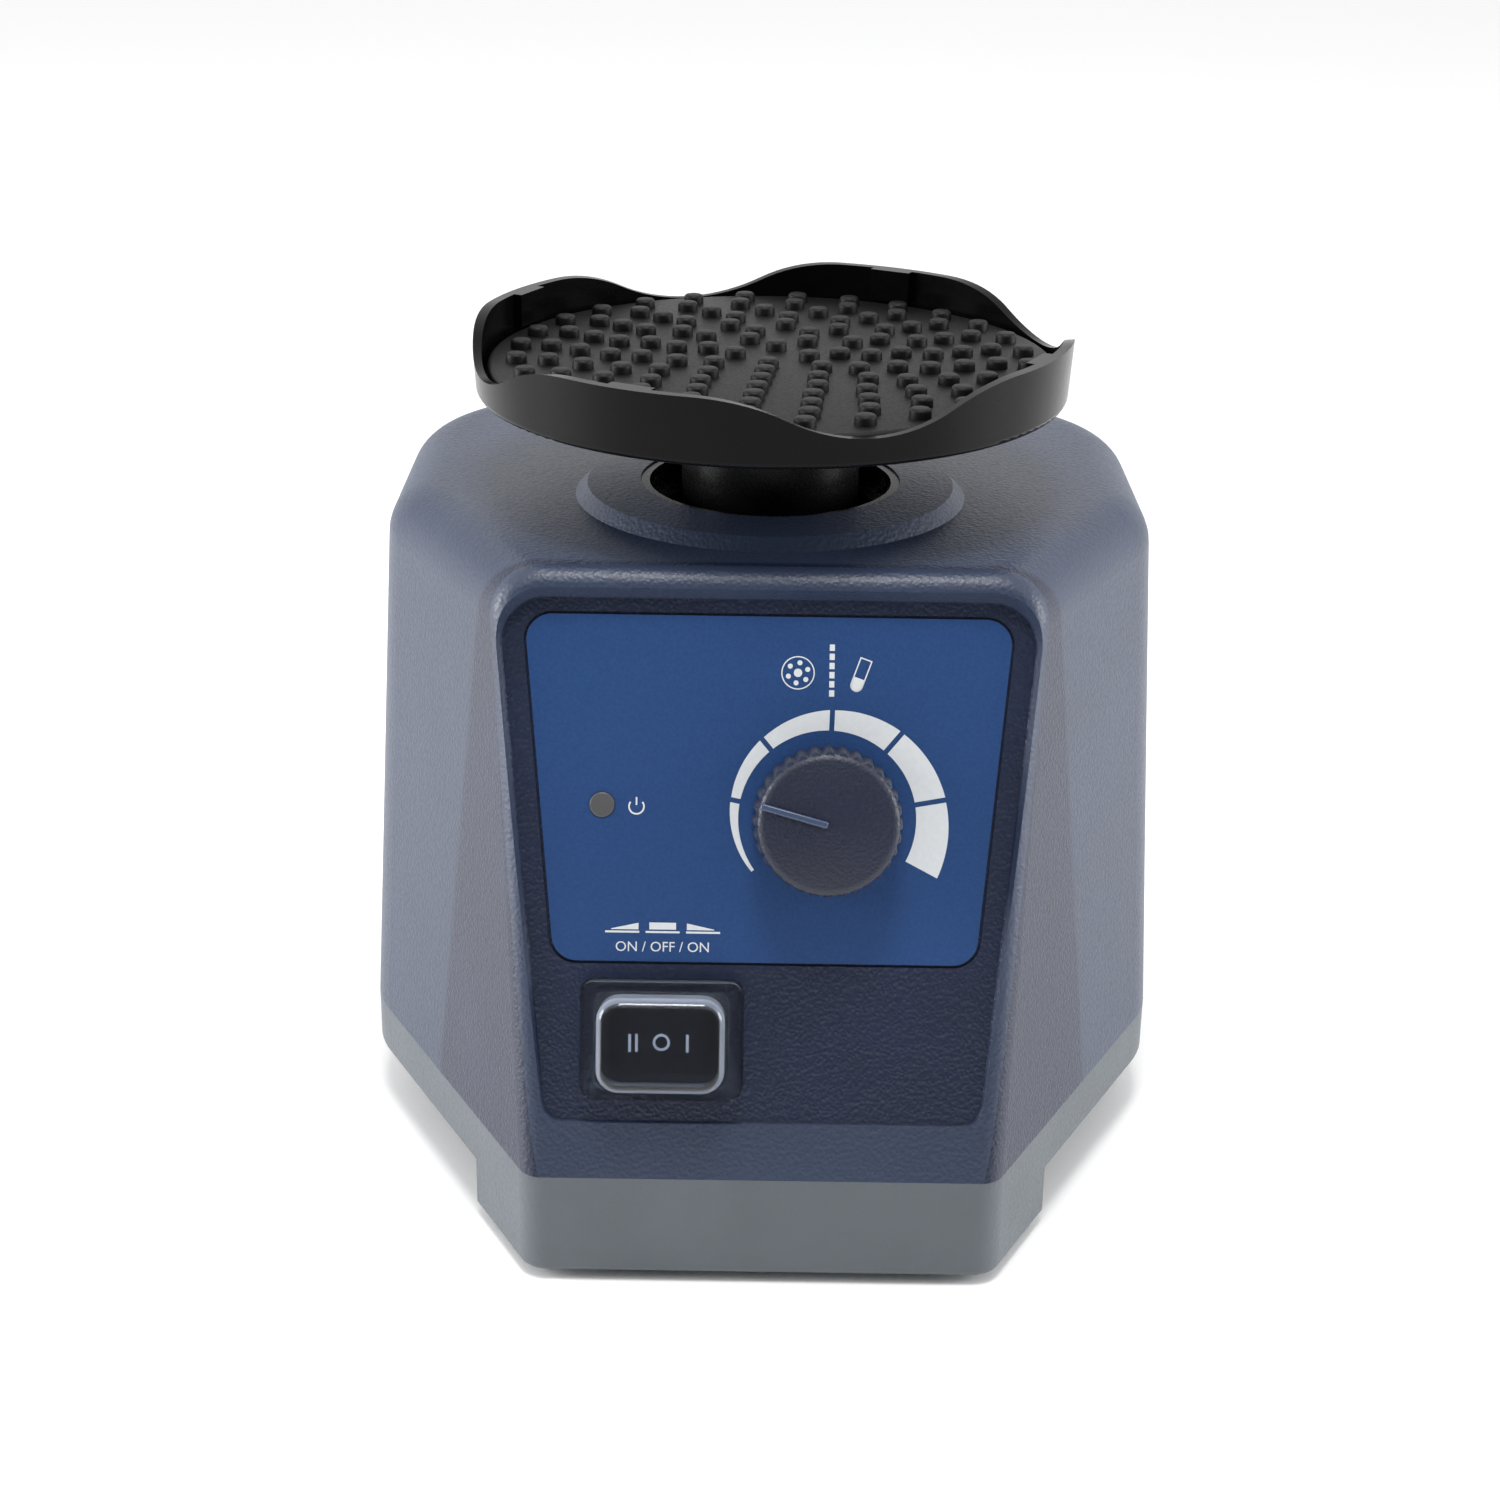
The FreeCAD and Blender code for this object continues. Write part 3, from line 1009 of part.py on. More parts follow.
def power_inlet():
    """Mains inlet, flush in the rear wall, with its three contact blades."""
    body = new_body("power_inlet")
    pad(body, rectangle(sketch_on(body), "Dims.inlet_width", "Dims.inlet_length"),
        "Dims.inlet_flange", inward=True)
    pad(body, rectangle(sketch_on(body), "Dims.inlet_body_width", "Dims.inlet_body_length"),
        "Dims.inlet_depth", inward=True)
    wide, tall, cut = "Dims.socket_width / 2", "Dims.socket_length / 2", "Dims.socket_cut"
    socket = outline(sketch_on(body), [
        (f"-{wide}", f"-{tall} + {cut}"), (f"-{wide} + {cut}", f"-{tall}"),
        (f"{wide} - {cut}", f"-{tall}"), (wide, f"-{tall} + {cut}"), (wide, tall), (f"-{wide}", tall)])
    pocket(body, socket, "Dims.socket_depth")
    places = [("-Dims.blade_pitch", "Dims.blade_offset"), ("Dims.blade_pitch", "Dims.blade_offset"),
              ("0", "-Dims.blade_offset")]
    slots = sketch_on(body)
    for x, y in places:
        rectangle(slots, "Dims.blade_thick", "Dims.blade_width", x, y)
    pocket(body, slots, "Dims.inlet_depth")
    sub_part(on_rear(body))
    blades = []
    for number, (x, y) in enumerate(places, start=1):
        blade = new_body(f"inlet_blade_{number}")
        pad(blade, rectangle(sketch_on(blade, lift="-Dims.blade_sink"), "Dims.blade_thick",
                             "Dims.blade_width", x, y),
            "Dims.inlet_depth + Dims.blade_tail - Dims.blade_sink", inward=True)
        blades.append(blade)
    sub_part(on_rear(group("inlet_blades", blades)))


def ballast():
    """Steel plate in the well of the base, and the screws that hold it."""
    body = new_body("ballast_plate")
    face = outline(sketch_on(body, lift=BALLAST_Z), plan(f"{WELL_INSET} + Dims.ballast_gap"))
    circles(face, "Dims.stud_radius + Dims.screw_clear", BALLAST_PLACES)
    pad(body, face, "Dims.ballast_thick")
    pocket(body, circles(sketch_on(body, lift=BALLAST_TOP), "Dims.guide_radius + Dims.screw_play",
                         MOUNT_PLACES), "Dims.guide_grip + Dims.screw_play")
    sub_part(body)
    screws = [place(screw(f"ballast_screw_{number}", "Dims.stud_head", "Dims.stud_head_height",
                          "Dims.stud_radius", "Dims.ballast_thick + Dims.stud_grip"), x, y, BALLAST_TOP)
              for number, (x, y) in enumerate(BALLAST_PLACES, start=1)]
    sub_part(group("ballast_screws", screws))


def isolators():
    """Four rubber columns that carry the motor plate, each round a guide screw."""
    columns = []
    guides = []
    shank = "Dims.guide_grip + Dims.isolator_height + Dims.plate_thick + Dims.stop_gap"
    for number, (x, y) in enumerate(MOUNT_PLACES, start=1):
        column = turned(f"isolator_{number}", ring_profile(
            "Dims.guide_radius + Dims.screw_clear", "Dims.isolator_radius", "0", "Dims.isolator_height"))
        columns.append(place(column, x, y, BALLAST_TOP))
        guide = screw(f"guide_screw_{number}", "Dims.guide_head", "Dims.guide_head_height",
                      "Dims.guide_radius", shank)
        guides.append(place(guide, x, y, f"{PLATE_TOP} + Dims.stop_gap"))
    sub_part(group("isolators", columns))
    sub_part(group("guide_screws", guides))


def touch_switch():
    """Small switch on the ballast plate; the motor plate presses its plunger."""
    top = f"{BALLAST_TOP} + Dims.feeler_height"
    body = new_body("touch_switch")
    pad(body, rectangle(sketch_on(body, lift=BALLAST_TOP), "Dims.feeler_width", "Dims.feeler_thick",
                        "0", FEELER_Y), "Dims.feeler_height")
    pocket(body, circle(sketch_on(body, lift=top), "Dims.plunger_radius + Dims.running", "0", FEELER_Y),
           "Dims.plunger_depth + Dims.plunger_floor")
    sub_part(body)
    low = f"{top} - Dims.plunger_depth"
    high = f"{PLATE_Z} - Dims.running"
    plunger = turned("touch_plunger", [
        ("0", low), ("Dims.plunger_radius", low), ("Dims.plunger_radius", high, "Dims.plunger_radius / 2"),
        ("0", high)])
    sub_part(place(plunger, "0", FEELER_Y))


def motor_plate():
    body = new_body("motor_plate")
    face = rectangle(sketch_on(body, lift=PLATE_Z), "Dims.plate_width", "Dims.plate_length",
                     corner="Dims.plate_corner")
    circle(face, "Dims.plate_hole")
    circles(face, "Dims.guide_radius + Dims.guide_play", MOUNT_PLACES)
    circles(face, "Dims.stud_radius + Dims.screw_clear", MOTOR_PLACES)
    pad(body, face, "Dims.plate_thick")
    return sub_part(body)


def motor_shell():
    """Two end bells with bearing seats, the can between them and the screws from below."""
    seat = "Dims.bearing_outer + Dims.seat_wall"
    lip = "Dims.bearing_outer - Dims.lip_in"
    lower = turned("motor_lower_bell", [
        (lip, PLATE_TOP), ("Dims.motor_radius", PLATE_TOP), ("Dims.motor_radius", CAN_Z), (seat, CAN_Z),
        (seat, f"{LOWER_BEARING} + Dims.bearing_width"),
        ("Dims.bearing_outer", f"{LOWER_BEARING} + Dims.bearing_width"),
        ("Dims.bearing_outer", LOWER_BEARING), (lip, LOWER_BEARING)])
    pocket(lower, circles(sketch_on(lower, lift=PLATE_TOP), "Dims.stud_radius + Dims.screw_play",
                          MOTOR_PLACES), "Dims.bell_thick", outward=True)
    sub_part(lower)
    sub_part(turned("motor_can", ring_profile("Dims.motor_radius - Dims.motor_wall", "Dims.motor_radius",
                                              CAN_Z, CAN_TOP)))
    under = f"{UPPER_BEARING} - Dims.seat_lip"
    sub_part(turned("motor_upper_bell", [
        (lip, under), (seat, under), (seat, CAN_TOP), ("Dims.motor_radius", CAN_TOP),
        ("Dims.motor_radius", MOTOR_TOP), ("Dims.bearing_outer", MOTOR_TOP),
        ("Dims.bearing_outer", UPPER_BEARING), (lip, UPPER_BEARING)]))
    screws = [place(screw(f"motor_screw_{number}", "Dims.stud_head", "Dims.stud_head_height",
                          "Dims.stud_radius", "Dims.plate_thick + Dims.stud_grip", up=True), x, y, PLATE_Z)
              for number, (x, y) in enumerate(MOTOR_PLACES, start=1)]
    sub_part(group("motor_screws", screws))


def bearing(name, height):
    """Shielded ball bearing, standing at a height on its own axis."""
    bore, outer = "Dims.bearing_bore + Dims.bearing_play", "Dims.bearing_outer"
    wide, sink = "Dims.bearing_width", "Dims.shield_sink"
    inner_ring, outer_ring = "Dims.shield_inner", "Dims.shield_outer"
    piece = turned(name, [
        (bore, "0"), (inner_ring, "0"), (inner_ring, sink), (outer_ring, sink), (outer_ring, "0"),
        (outer, "0"), (outer, wide), (outer_ring, wide), (outer_ring, f"{wide} - {sink}"),
        (inner_ring, f"{wide} - {sink}"), (inner_ring, wide), (bore, wide)])
    return place(piece, z=height)


def stator():
    """Slotted stack inside the can, and the winding through its slots."""
    stack = new_body("stator_stack")
    face = circle(sketch_on(stack, lift=STACK_Z), STACK_RADIUS)
    circle(face, STACK_BORE)
    pad(stack, face, "Dims.stack_height")
    slot_length = f"{SLOT_OUTER} - {SLOT_INNER}"
    slot_middle = f"({SLOT_OUTER} + {SLOT_INNER}) / 2"
    slot = pocket(stack, rectangle(sketch_on(stack, lift=STACK_TOP), slot_length, "Dims.slot_width",
                                   slot_middle), "Dims.stack_height")
    around(stack, [slot], "Dims.slot_count")
    sub_part(stack)
    winding = new_body("stator_winding")
    end_height = "Dims.coil_height"
    inside, outside = f"{SLOT_INNER} + Dims.coil_gap", f"{SLOT_OUTER} - Dims.coil_gap"
    below = f"({STACK_Z} - Dims.coil_gap - {end_height})"
    above = f"({STACK_TOP} + Dims.coil_gap)"
    lower = circle(sketch_on(winding, lift=below), outside)
    pad(winding, circle(lower, inside), end_height)
    bar = pad(winding, rectangle(sketch_on(winding, lift=below), f"{slot_length} - 2 * Dims.coil_gap",
                                 "Dims.slot_width - 2 * Dims.coil_gap", slot_middle),
              f"{above} - {below} + {end_height}")
    around(winding, [bar], "Dims.slot_count")
    upper = circle(sketch_on(winding, lift=above), outside)
    pad(winding, circle(upper, inside), end_height)
    sub_part(winding)


def rotor():
    """Stepped shaft and the rotor with its end rings."""
    low = f"{LOWER_BEARING} - Dims.shaft_tail"
    shoulder = f"{LOWER_BEARING} + Dims.bearing_width + Dims.shaft_shoulder"
    step = f"{UPPER_BEARING} - Dims.shaft_shoulder"
    high = f"{CRANK_Z} + Dims.shaft_grip"
    thin, thick = "Dims.bearing_bore", "Dims.shaft_radius"
    sub_part(turned("motor_shaft", [("0", low), (thin, low), (thin, shoulder), (thick, shoulder),
                                    (thick, step), (thin, step), (thin, high), ("0", high)]))
    cage = "Dims.rotor_radius - Dims.cage_wall"
    sub_part(turned("rotor_core", [
        (thick, STACK_Z), (cage, STACK_Z), (cage, f"{STACK_Z} - Dims.cage_height"),
        ("Dims.rotor_radius", f"{STACK_Z} - Dims.cage_height"),
        ("Dims.rotor_radius", f"{STACK_TOP} + Dims.cage_height"),
        (cage, f"{STACK_TOP} + Dims.cage_height"), (cage, STACK_TOP), (thick, STACK_TOP)]))


def crank():
    """Crank on the shaft: a disc with a counterweight opposite its pin, and what the pin carries."""
    body = new_body("crank_disc")
    pad(body, circle(sketch_on(body, lift=CRANK_Z), "Dims.crank_radius"), "Dims.crank_height")
    pad(body, weight_outline(body), "Dims.crank_height")
    pad(body, circle(sketch_on(body, lift=CRANK_TOP), "Dims.crank_boss", "0", "Dims.throw"),
        "Dims.crank_boss_height")
    pocket(body, circle(sketch_on(body, lift=CRANK_Z), "Dims.bearing_bore"), "Dims.shaft_grip",
           outward=True)
    pocket(body, circle(sketch_on(body, lift=BOSS_TOP), "Dims.bearing_bore", "0", "Dims.throw"),
           "Dims.crank_boss_height")
    sub_part(body)
    pin, collar = "Dims.bearing_bore", "Dims.pin_collar"
    bore = "Dims.stud_radius + Dims.screw_play"
    floor = f"{PIN_TOP} - Dims.crank_screw_grip - Dims.screw_play"
    sub_part(place(turned("crank_pin", [
        ("0", CRANK_TOP), (pin, CRANK_TOP), (pin, BOSS_TOP), (collar, BOSS_TOP), (collar, HEAD_BEARING),
        (pin, HEAD_BEARING), (pin, PIN_TOP), (bore, PIN_TOP), (bore, floor), ("0", floor)]),
        y="Dims.throw"))
    inner = f"{pin} + Dims.spacer_play"
    low = f"{HEAD_BEARING} + Dims.bearing_width + Dims.spacer_play"
    sub_part(place(turned("bearing_spacer", ring_profile(
        inner, f"{inner} + Dims.spacer_wall", low, f"{SECOND_BEARING} - Dims.spacer_play")),
        y="Dims.throw"))
    washer = "Dims.washer_thick"
    shank = "Dims.stud_radius"
    sub_part(place(turned("crank_screw", [
        ("0", f"{washer} + Dims.stud_head_height"), ("Dims.stud_head", f"{washer} + Dims.stud_head_height"),
        ("Dims.stud_head", washer), ("Dims.washer_radius", washer), ("Dims.washer_radius", "0"),
        (shank, "0"), (shank, "-Dims.crank_screw_grip"), ("0", "-Dims.crank_screw_grip")]),
        y="Dims.throw", z=PIN_TOP))


def weight_outline(body):
    """The counterweight's segment, bounded by a chord and an arc about the motor's axis."""
    sketch = sketch_on(body, lift=CRANK_Z)
    radius = "Dims.weight_radius"
    half = f"sqrt({radius} * {radius} - Dims.weight_start * Dims.weight_start)"
    ends = [FreeCAD.Vector(side * value(half), -value("Dims.weight_start"), 0) for side in (-1, 1)]
    lowest = FreeCAD.Vector(0, -value(radius), 0)
    arc = sketch.addGeometry(Part.Arc(ends[0], lowest, ends[1]), False)
    chord = sketch.addGeometry(Part.LineSegment(ends[1], ends[0]), False)
    sketch.addConstraint(Sketcher.Constraint("Coincident", arc, 2, chord, 1))
    sketch.addConstraint(Sketcher.Constraint("Coincident", chord, 2, arc, 1))
    for end, side in ((1, "1"), (2, "-1")):
        tie(sketch, "DistanceX", chord, end, f"{side} * {half}")
        tie(sketch, "DistanceY", chord, end, "-Dims.weight_start")
    tie_radius(sketch, arc, radius)
    return sketch


def head():
    """Neck with its bearings and retaining ring; the platform and its mat ride on it."""
    bearings = [bearing("head_bearing_1", HEAD_BEARING), bearing("head_bearing_2", SECOND_BEARING)]
    sub_part(place(group("head_bearings", bearings), y="Dims.throw"))
    low = f"{BOSS_TOP} + Dims.hub_gap"
    bore = "Dims.bearing_outer"
    seat_top = f"{SECOND_BEARING} + Dims.bearing_width"
    groove_low = f"{HEAD_BEARING} - Dims.clip_thick - 2 * Dims.clip_play"
    groove = f"{bore} + Dims.clip_groove"
    room = "Dims.hub_room_radius"
    flange = f"{PLATFORM_Z} - Dims.flange_thick"
    hub = turned("head_hub", [
        (bore, low), ("Dims.hub_radius", low), ("Dims.hub_radius", flange), ("Dims.flange_radius", flange),
        ("Dims.flange_radius", PLATFORM_Z), ("0", PLATFORM_Z), ("0", f"{seat_top} + Dims.hub_room"),
        (room, f"{seat_top} + Dims.hub_room"), (room, seat_top), (bore, seat_top), (bore, HEAD_BEARING),
        (groove, HEAD_BEARING), (groove, groove_low), (bore, groove_low)])
    threads = circle(sketch_on(hub, lift=PLATFORM_Z), "Dims.screw_radius + Dims.screw_play",
                     "0", "-Dims.platform_screw_ring")
    around(hub, [pocket(hub, threads, "Dims.flange_thick")], "Dims.platform_screws")
    sub_part(place(hub, y="Dims.throw"))
    ring_low = f"{groove_low} + Dims.clip_play"
    clip = turned("hub_clip", ring_profile(f"{bore} - Dims.clip_in", f"{groove} - Dims.clip_play", ring_low,
                                           f"{ring_low} + Dims.clip_thick"), "Dims.clip_sweep")
    sub_part(place(clip, y="Dims.throw"))


def platform():
    """Dished platform: its wall rises into lobes with smooth dips between them."""
    body = new_body("platform")
    outer, inner = "Dims.platform_radius", PLATFORM_BORE
    spin(body, outline(sketch_on(body, "XZ_Plane"), [
        ("0", PLATFORM_Z), (f"{outer} - Dims.platform_draft", PLATFORM_Z, "Dims.platform_edge"),
        (outer, LOBE_TOP), (inner, LOBE_TOP), (inner, FLOOR_TOP), ("0", FLOOR_TOP)]))
    pads = turned_sketch(body, "XY_Plane", FreeCAD.Vector(0, 0, 1),
                         "Dims.valley_angle - 180 / Dims.lobe_count", f"{MAT_TOP} + Dims.lobe_pad_gap")
    back = f"({inner} + Dims.platform_wall / 2)"
    front = f"({inner} - Dims.lobe_pad_thick)"
    rectangle(pads, "Dims.lobe_pad_width", f"{back} - {front}", "0", f"-({back} + {front}) / 2")
    block = pad(body, pads, f"{LOBE_TOP} - {MAT_TOP} - Dims.lobe_pad_gap")
    around(body, [block], "Dims.lobe_count")
    dip = pocket(body, valley(body), f"2 * {outer}", outward=True)
    around(body, [dip], "Dims.lobe_count")
    sink = circle(sketch_on(body, lift=PLATFORM_Z), "Dims.screw_radius + Dims.screw_clear",
                  "0", "-Dims.platform_screw_ring")
    hole = pocket(body, sink, "Dims.platform_floor", outward=True)
    head_seat = circle(sketch_on(body, lift=FLOOR_TOP), "Dims.flat_head + Dims.screw_play",
                       "0", "-Dims.platform_screw_ring")
    counterbore = pocket(body, head_seat, "Dims.flat_head_height")
    around(body, [hole, counterbore], "Dims.platform_screws")
    sub_part(place(body, y="Dims.throw"))


def valley(body):
    """A dip of three equal arcs that run smoothly into each other and into the lobes."""
    half, depth = "Dims.valley_half", "Dims.valley_depth"
    bend = f"(2 * atan({depth} / {half}))"
    radius = f"({half} / (2 * sin({bend})))"
    turned_to_dip = turned_sketch(body, "XZ_Plane", FreeCAD.Vector(0, 1, 0), "Dims.valley_angle")
    level = f"({LOBE_TOP} - {depth} / 2)"
    above = f"({LOBE_TOP} + {depth})"
    spots = [(f"-{half}", LOBE_TOP), (f"-{half} / 2", level), (f"{half} / 2", level), (half, LOBE_TOP),
             (half, above), (f"-{half}", above)]
    points = [FreeCAD.Vector(value(x), value(z), 0) for x, z in spots]
    size, lift, drop = value(radius), value(LOBE_TOP), value(depth)
    swing = FreeCAD.Vector(0, 0, 1)
    centres = [FreeCAD.Vector(-value(half), lift - size, 0), FreeCAD.Vector(0, lift - drop + size, 0),
               FreeCAD.Vector(value(half), lift - size, 0)]
    for index, centre in enumerate(centres):
        ends = (points[index], points[index + 1]) if index == 1 else (points[index + 1], points[index])
        ring = Part.Circle(centre, swing, size)
        turned_to_dip.addGeometry(Part.ArcOfCircle(ring, ring.parameter(ends[0]), ring.parameter(ends[1])),
                                  False)
    for index in (3, 4, 5):
        turned_to_dip.addGeometry(Part.LineSegment(points[index], points[(index + 1) % 6]), False)
    joins = ((0, 1, 1, 1), (1, 2, 2, 2), (2, 1, 3, 1), (3, 2, 4, 1), (4, 2, 5, 1), (5, 2, 0, 2))
    for one, end, other, start in joins:
        turned_to_dip.addConstraint(Sketcher.Constraint("Coincident", one, end, other, start))
    for (x, z), (curve, end) in zip(spots, ((0, 2), (1, 1), (1, 2), (3, 1), (4, 1), (5, 1))):
        tie(turned_to_dip, "DistanceX", curve, end, x)
        tie(turned_to_dip, "DistanceY", curve, end, z)
    for arc in range(3):
        tie_radius(turned_to_dip, arc, radius)
    return turned_to_dip


def platform_screws():
    pieces = []
    for number in range(round(value("Dims.platform_screws"))):
        angle = f"(360 * {number} / Dims.platform_screws - 90)"
        piece = screw(f"platform_screw_{number + 1}", "Dims.flat_head", "Dims.flat_head_height",
                      "Dims.screw_radius",
                      "Dims.platform_floor - Dims.flat_head_height + Dims.flange_thick")
        ring = "Dims.platform_screw_ring"
        pieces.append(place(piece, f"{ring} * cos({angle})", f"{ring} * sin({angle}) + Dims.throw",
                            f"{FLOOR_TOP} - Dims.flat_head_height"))
    return sub_part(group("platform_screws", pieces))


def nub_mat():
    """Rubber mat with rings of nubs at an even spacing."""
    body = new_body("nub_mat")
    pad(body, circle(sketch_on(body, lift=FLOOR_TOP), MAT_RADIUS), "Dims.mat_thick")
    for ring in range(round(value("Dims.nub_rings"))):
        radius = f"({MAT_RADIUS} - Dims.nub_edge - {ring} * Dims.nub_ring_pitch)"
        count = f"round(2 * pi * {radius} / Dims.nub_pitch)"
        sketch = turned_sketch(body, "XY_Plane", FreeCAD.Vector(0, 0, 1), "-90 - Dims.nub_turn", MAT_TOP)
        circle(sketch, "Dims.nub_radius", radius)
        around(body, [pad(body, sketch, "Dims.nub_height", taper="-Dims.nub_draft")], count)
    return sub_part(place(body, y="Dims.throw"))


def check_and_export():
    """Writes every sub-part once all objects of the document are sound."""
    doc.recompute()
    for item in doc.Objects:
        if "Invalid" in item.State or "Error" in item.State:
            raise RuntimeError(f"{item.Label} failed: {item.State}")
    os.makedirs("parts", exist_ok=True)
    for piece in parts:
        if piece.Shape.isNull() or not piece.Shape.isValid():
            raise RuntimeError(f"{piece.Label} has no sound shape")
        piece.Shape.exportStep(f"parts/{piece.Label}.step")
        print(f"{piece.Label}: {len(piece.Shape.Solids)} solids, {piece.Shape.Volume:.1f} mm3")


base_pan()
feet()
case_screws()
upper_casing()
neck_sleeve()
control_label()
indicator()
control_board()
board_parts()
board_screws()
speed_control()
speed_knob()
rocker_switch()
power_inlet()
ballast()
isolators()
touch_switch()
motor_plate()
motor_shell()
sub_part(bearing("lower_bearing", LOWER_BEARING))
sub_part(bearing("upper_bearing", UPPER_BEARING))
stator()
rotor()
crank()
head()
platform()
platform_screws()
nub_mat()
check_and_export()
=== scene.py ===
"""Looks of a bench vortex mixer: moulded casing, printed label, capped switch and nubbed platform."""
import json
import math
import bpy
from mathutils import Matrix, Vector


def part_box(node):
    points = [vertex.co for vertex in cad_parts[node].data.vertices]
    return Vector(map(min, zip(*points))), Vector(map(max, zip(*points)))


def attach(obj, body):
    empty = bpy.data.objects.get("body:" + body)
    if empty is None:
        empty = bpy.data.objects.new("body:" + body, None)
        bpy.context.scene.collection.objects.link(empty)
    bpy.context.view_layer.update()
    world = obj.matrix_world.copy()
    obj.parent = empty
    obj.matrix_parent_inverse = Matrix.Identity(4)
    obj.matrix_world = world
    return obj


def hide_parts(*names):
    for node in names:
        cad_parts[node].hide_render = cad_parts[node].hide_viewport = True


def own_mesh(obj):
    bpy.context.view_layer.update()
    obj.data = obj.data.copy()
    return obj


MM = 0.001
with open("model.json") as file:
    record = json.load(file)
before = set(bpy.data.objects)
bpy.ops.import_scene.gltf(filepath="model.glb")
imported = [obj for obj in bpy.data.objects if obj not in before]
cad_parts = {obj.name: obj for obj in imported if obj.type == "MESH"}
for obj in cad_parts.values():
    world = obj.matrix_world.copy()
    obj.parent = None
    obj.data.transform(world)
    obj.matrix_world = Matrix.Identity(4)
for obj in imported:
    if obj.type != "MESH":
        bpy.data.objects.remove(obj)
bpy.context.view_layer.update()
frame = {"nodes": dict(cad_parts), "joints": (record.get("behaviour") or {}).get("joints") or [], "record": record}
nodes = frame["nodes"]
joints = {joint["name"]: joint for joint in frame["joints"]}
scene = bpy.context.scene
scene.view_settings.view_transform = "Standard"


def linear(colour):
    """Linear RGBA of an sRGB hex colour such as "#2B5082"."""
    channels = [int(colour[start:start + 2], 16) / 255 for start in (1, 3, 5)]
    return [c / 12.92 if c <= 0.04045 else ((c + 0.055) / 1.055) ** 2.4 for c in channels] + [1.0]


def add_node(tree, kind, inputs=None, **settings):
    """Adds a node; inputs maps a socket to a value or to the (node, output) that feeds it."""
    node = tree.nodes.new(kind)
    for name, setting in settings.items():
        setattr(node, name, setting)
    for socket, source in (inputs or {}).items():
        if isinstance(source, tuple) and isinstance(source[0], bpy.types.Node):
            tree.links.new(source[0].outputs[source[1]], node.inputs[socket])
        else:
            node.inputs[socket].default_value = source
    return node


def start_material(name):
    """An empty node material: its tree, the surface shader and the piece's own coordinates."""
    material = bpy.data.materials.new(name)
    material.use_nodes = True
    tree = material.node_tree
    tree.nodes.clear()
    shader = add_node(tree, "ShaderNodeBsdfPrincipled")
    add_node(tree, "ShaderNodeOutputMaterial", {"Surface": (shader, 0)})
    place = add_node(tree, "ShaderNodeTexCoord")
    return material, tree, shader, (place, "Object")


def two_tones(tree, factor, dark, light, low=0.35, high=0.65):
    """A colour ramp between two hex colours."""
    ramp = add_node(tree, "ShaderNodeValToRGB", {"Fac": factor})
    ramp.color_ramp.elements[0].position = low
    ramp.color_ramp.elements[1].position = high
    ramp.color_ramp.elements[0].color = linear(dark)
    ramp.color_ramp.elements[1].color = linear(light)
    return ramp, "Color"


def moulded(name, dark, light, grain, depth, roughness, ior=1.53):
    """Moulded plastic: a pebbled tool texture, grain and depth in mm, a little uneven in gloss."""
    material, tree, shader, place = start_material(name)
    cells = add_node(tree, "ShaderNodeTexVoronoi", {"Vector": place, "Scale": 1 / (grain * MM)},
                     feature="SMOOTH_F1")
    cloud = add_node(tree, "ShaderNodeTexNoise", {"Vector": place, "Scale": 60.0, "Detail": 3.0})
    colour = two_tones(tree, (cloud, 0), dark, light)
    tree.links.new(colour[0].outputs[colour[1]], shader.inputs["Base Color"])
    gloss = add_node(tree, "ShaderNodeMapRange", {"Value": (cells, 0), "From Min": 0.0, "From Max": 0.8,
                                                  "To Min": roughness - 0.05, "To Max": roughness + 0.08})
    tree.links.new(gloss.outputs[0], shader.inputs["Roughness"])
    bump = add_node(tree, "ShaderNodeBump", {"Height": (cells, 0), "Strength": 1.0, "Distance": depth * MM},
                    invert=True)
    tree.links.new(bump.outputs[0], shader.inputs["Normal"])
    shader.inputs["IOR"].default_value = ior
    return material


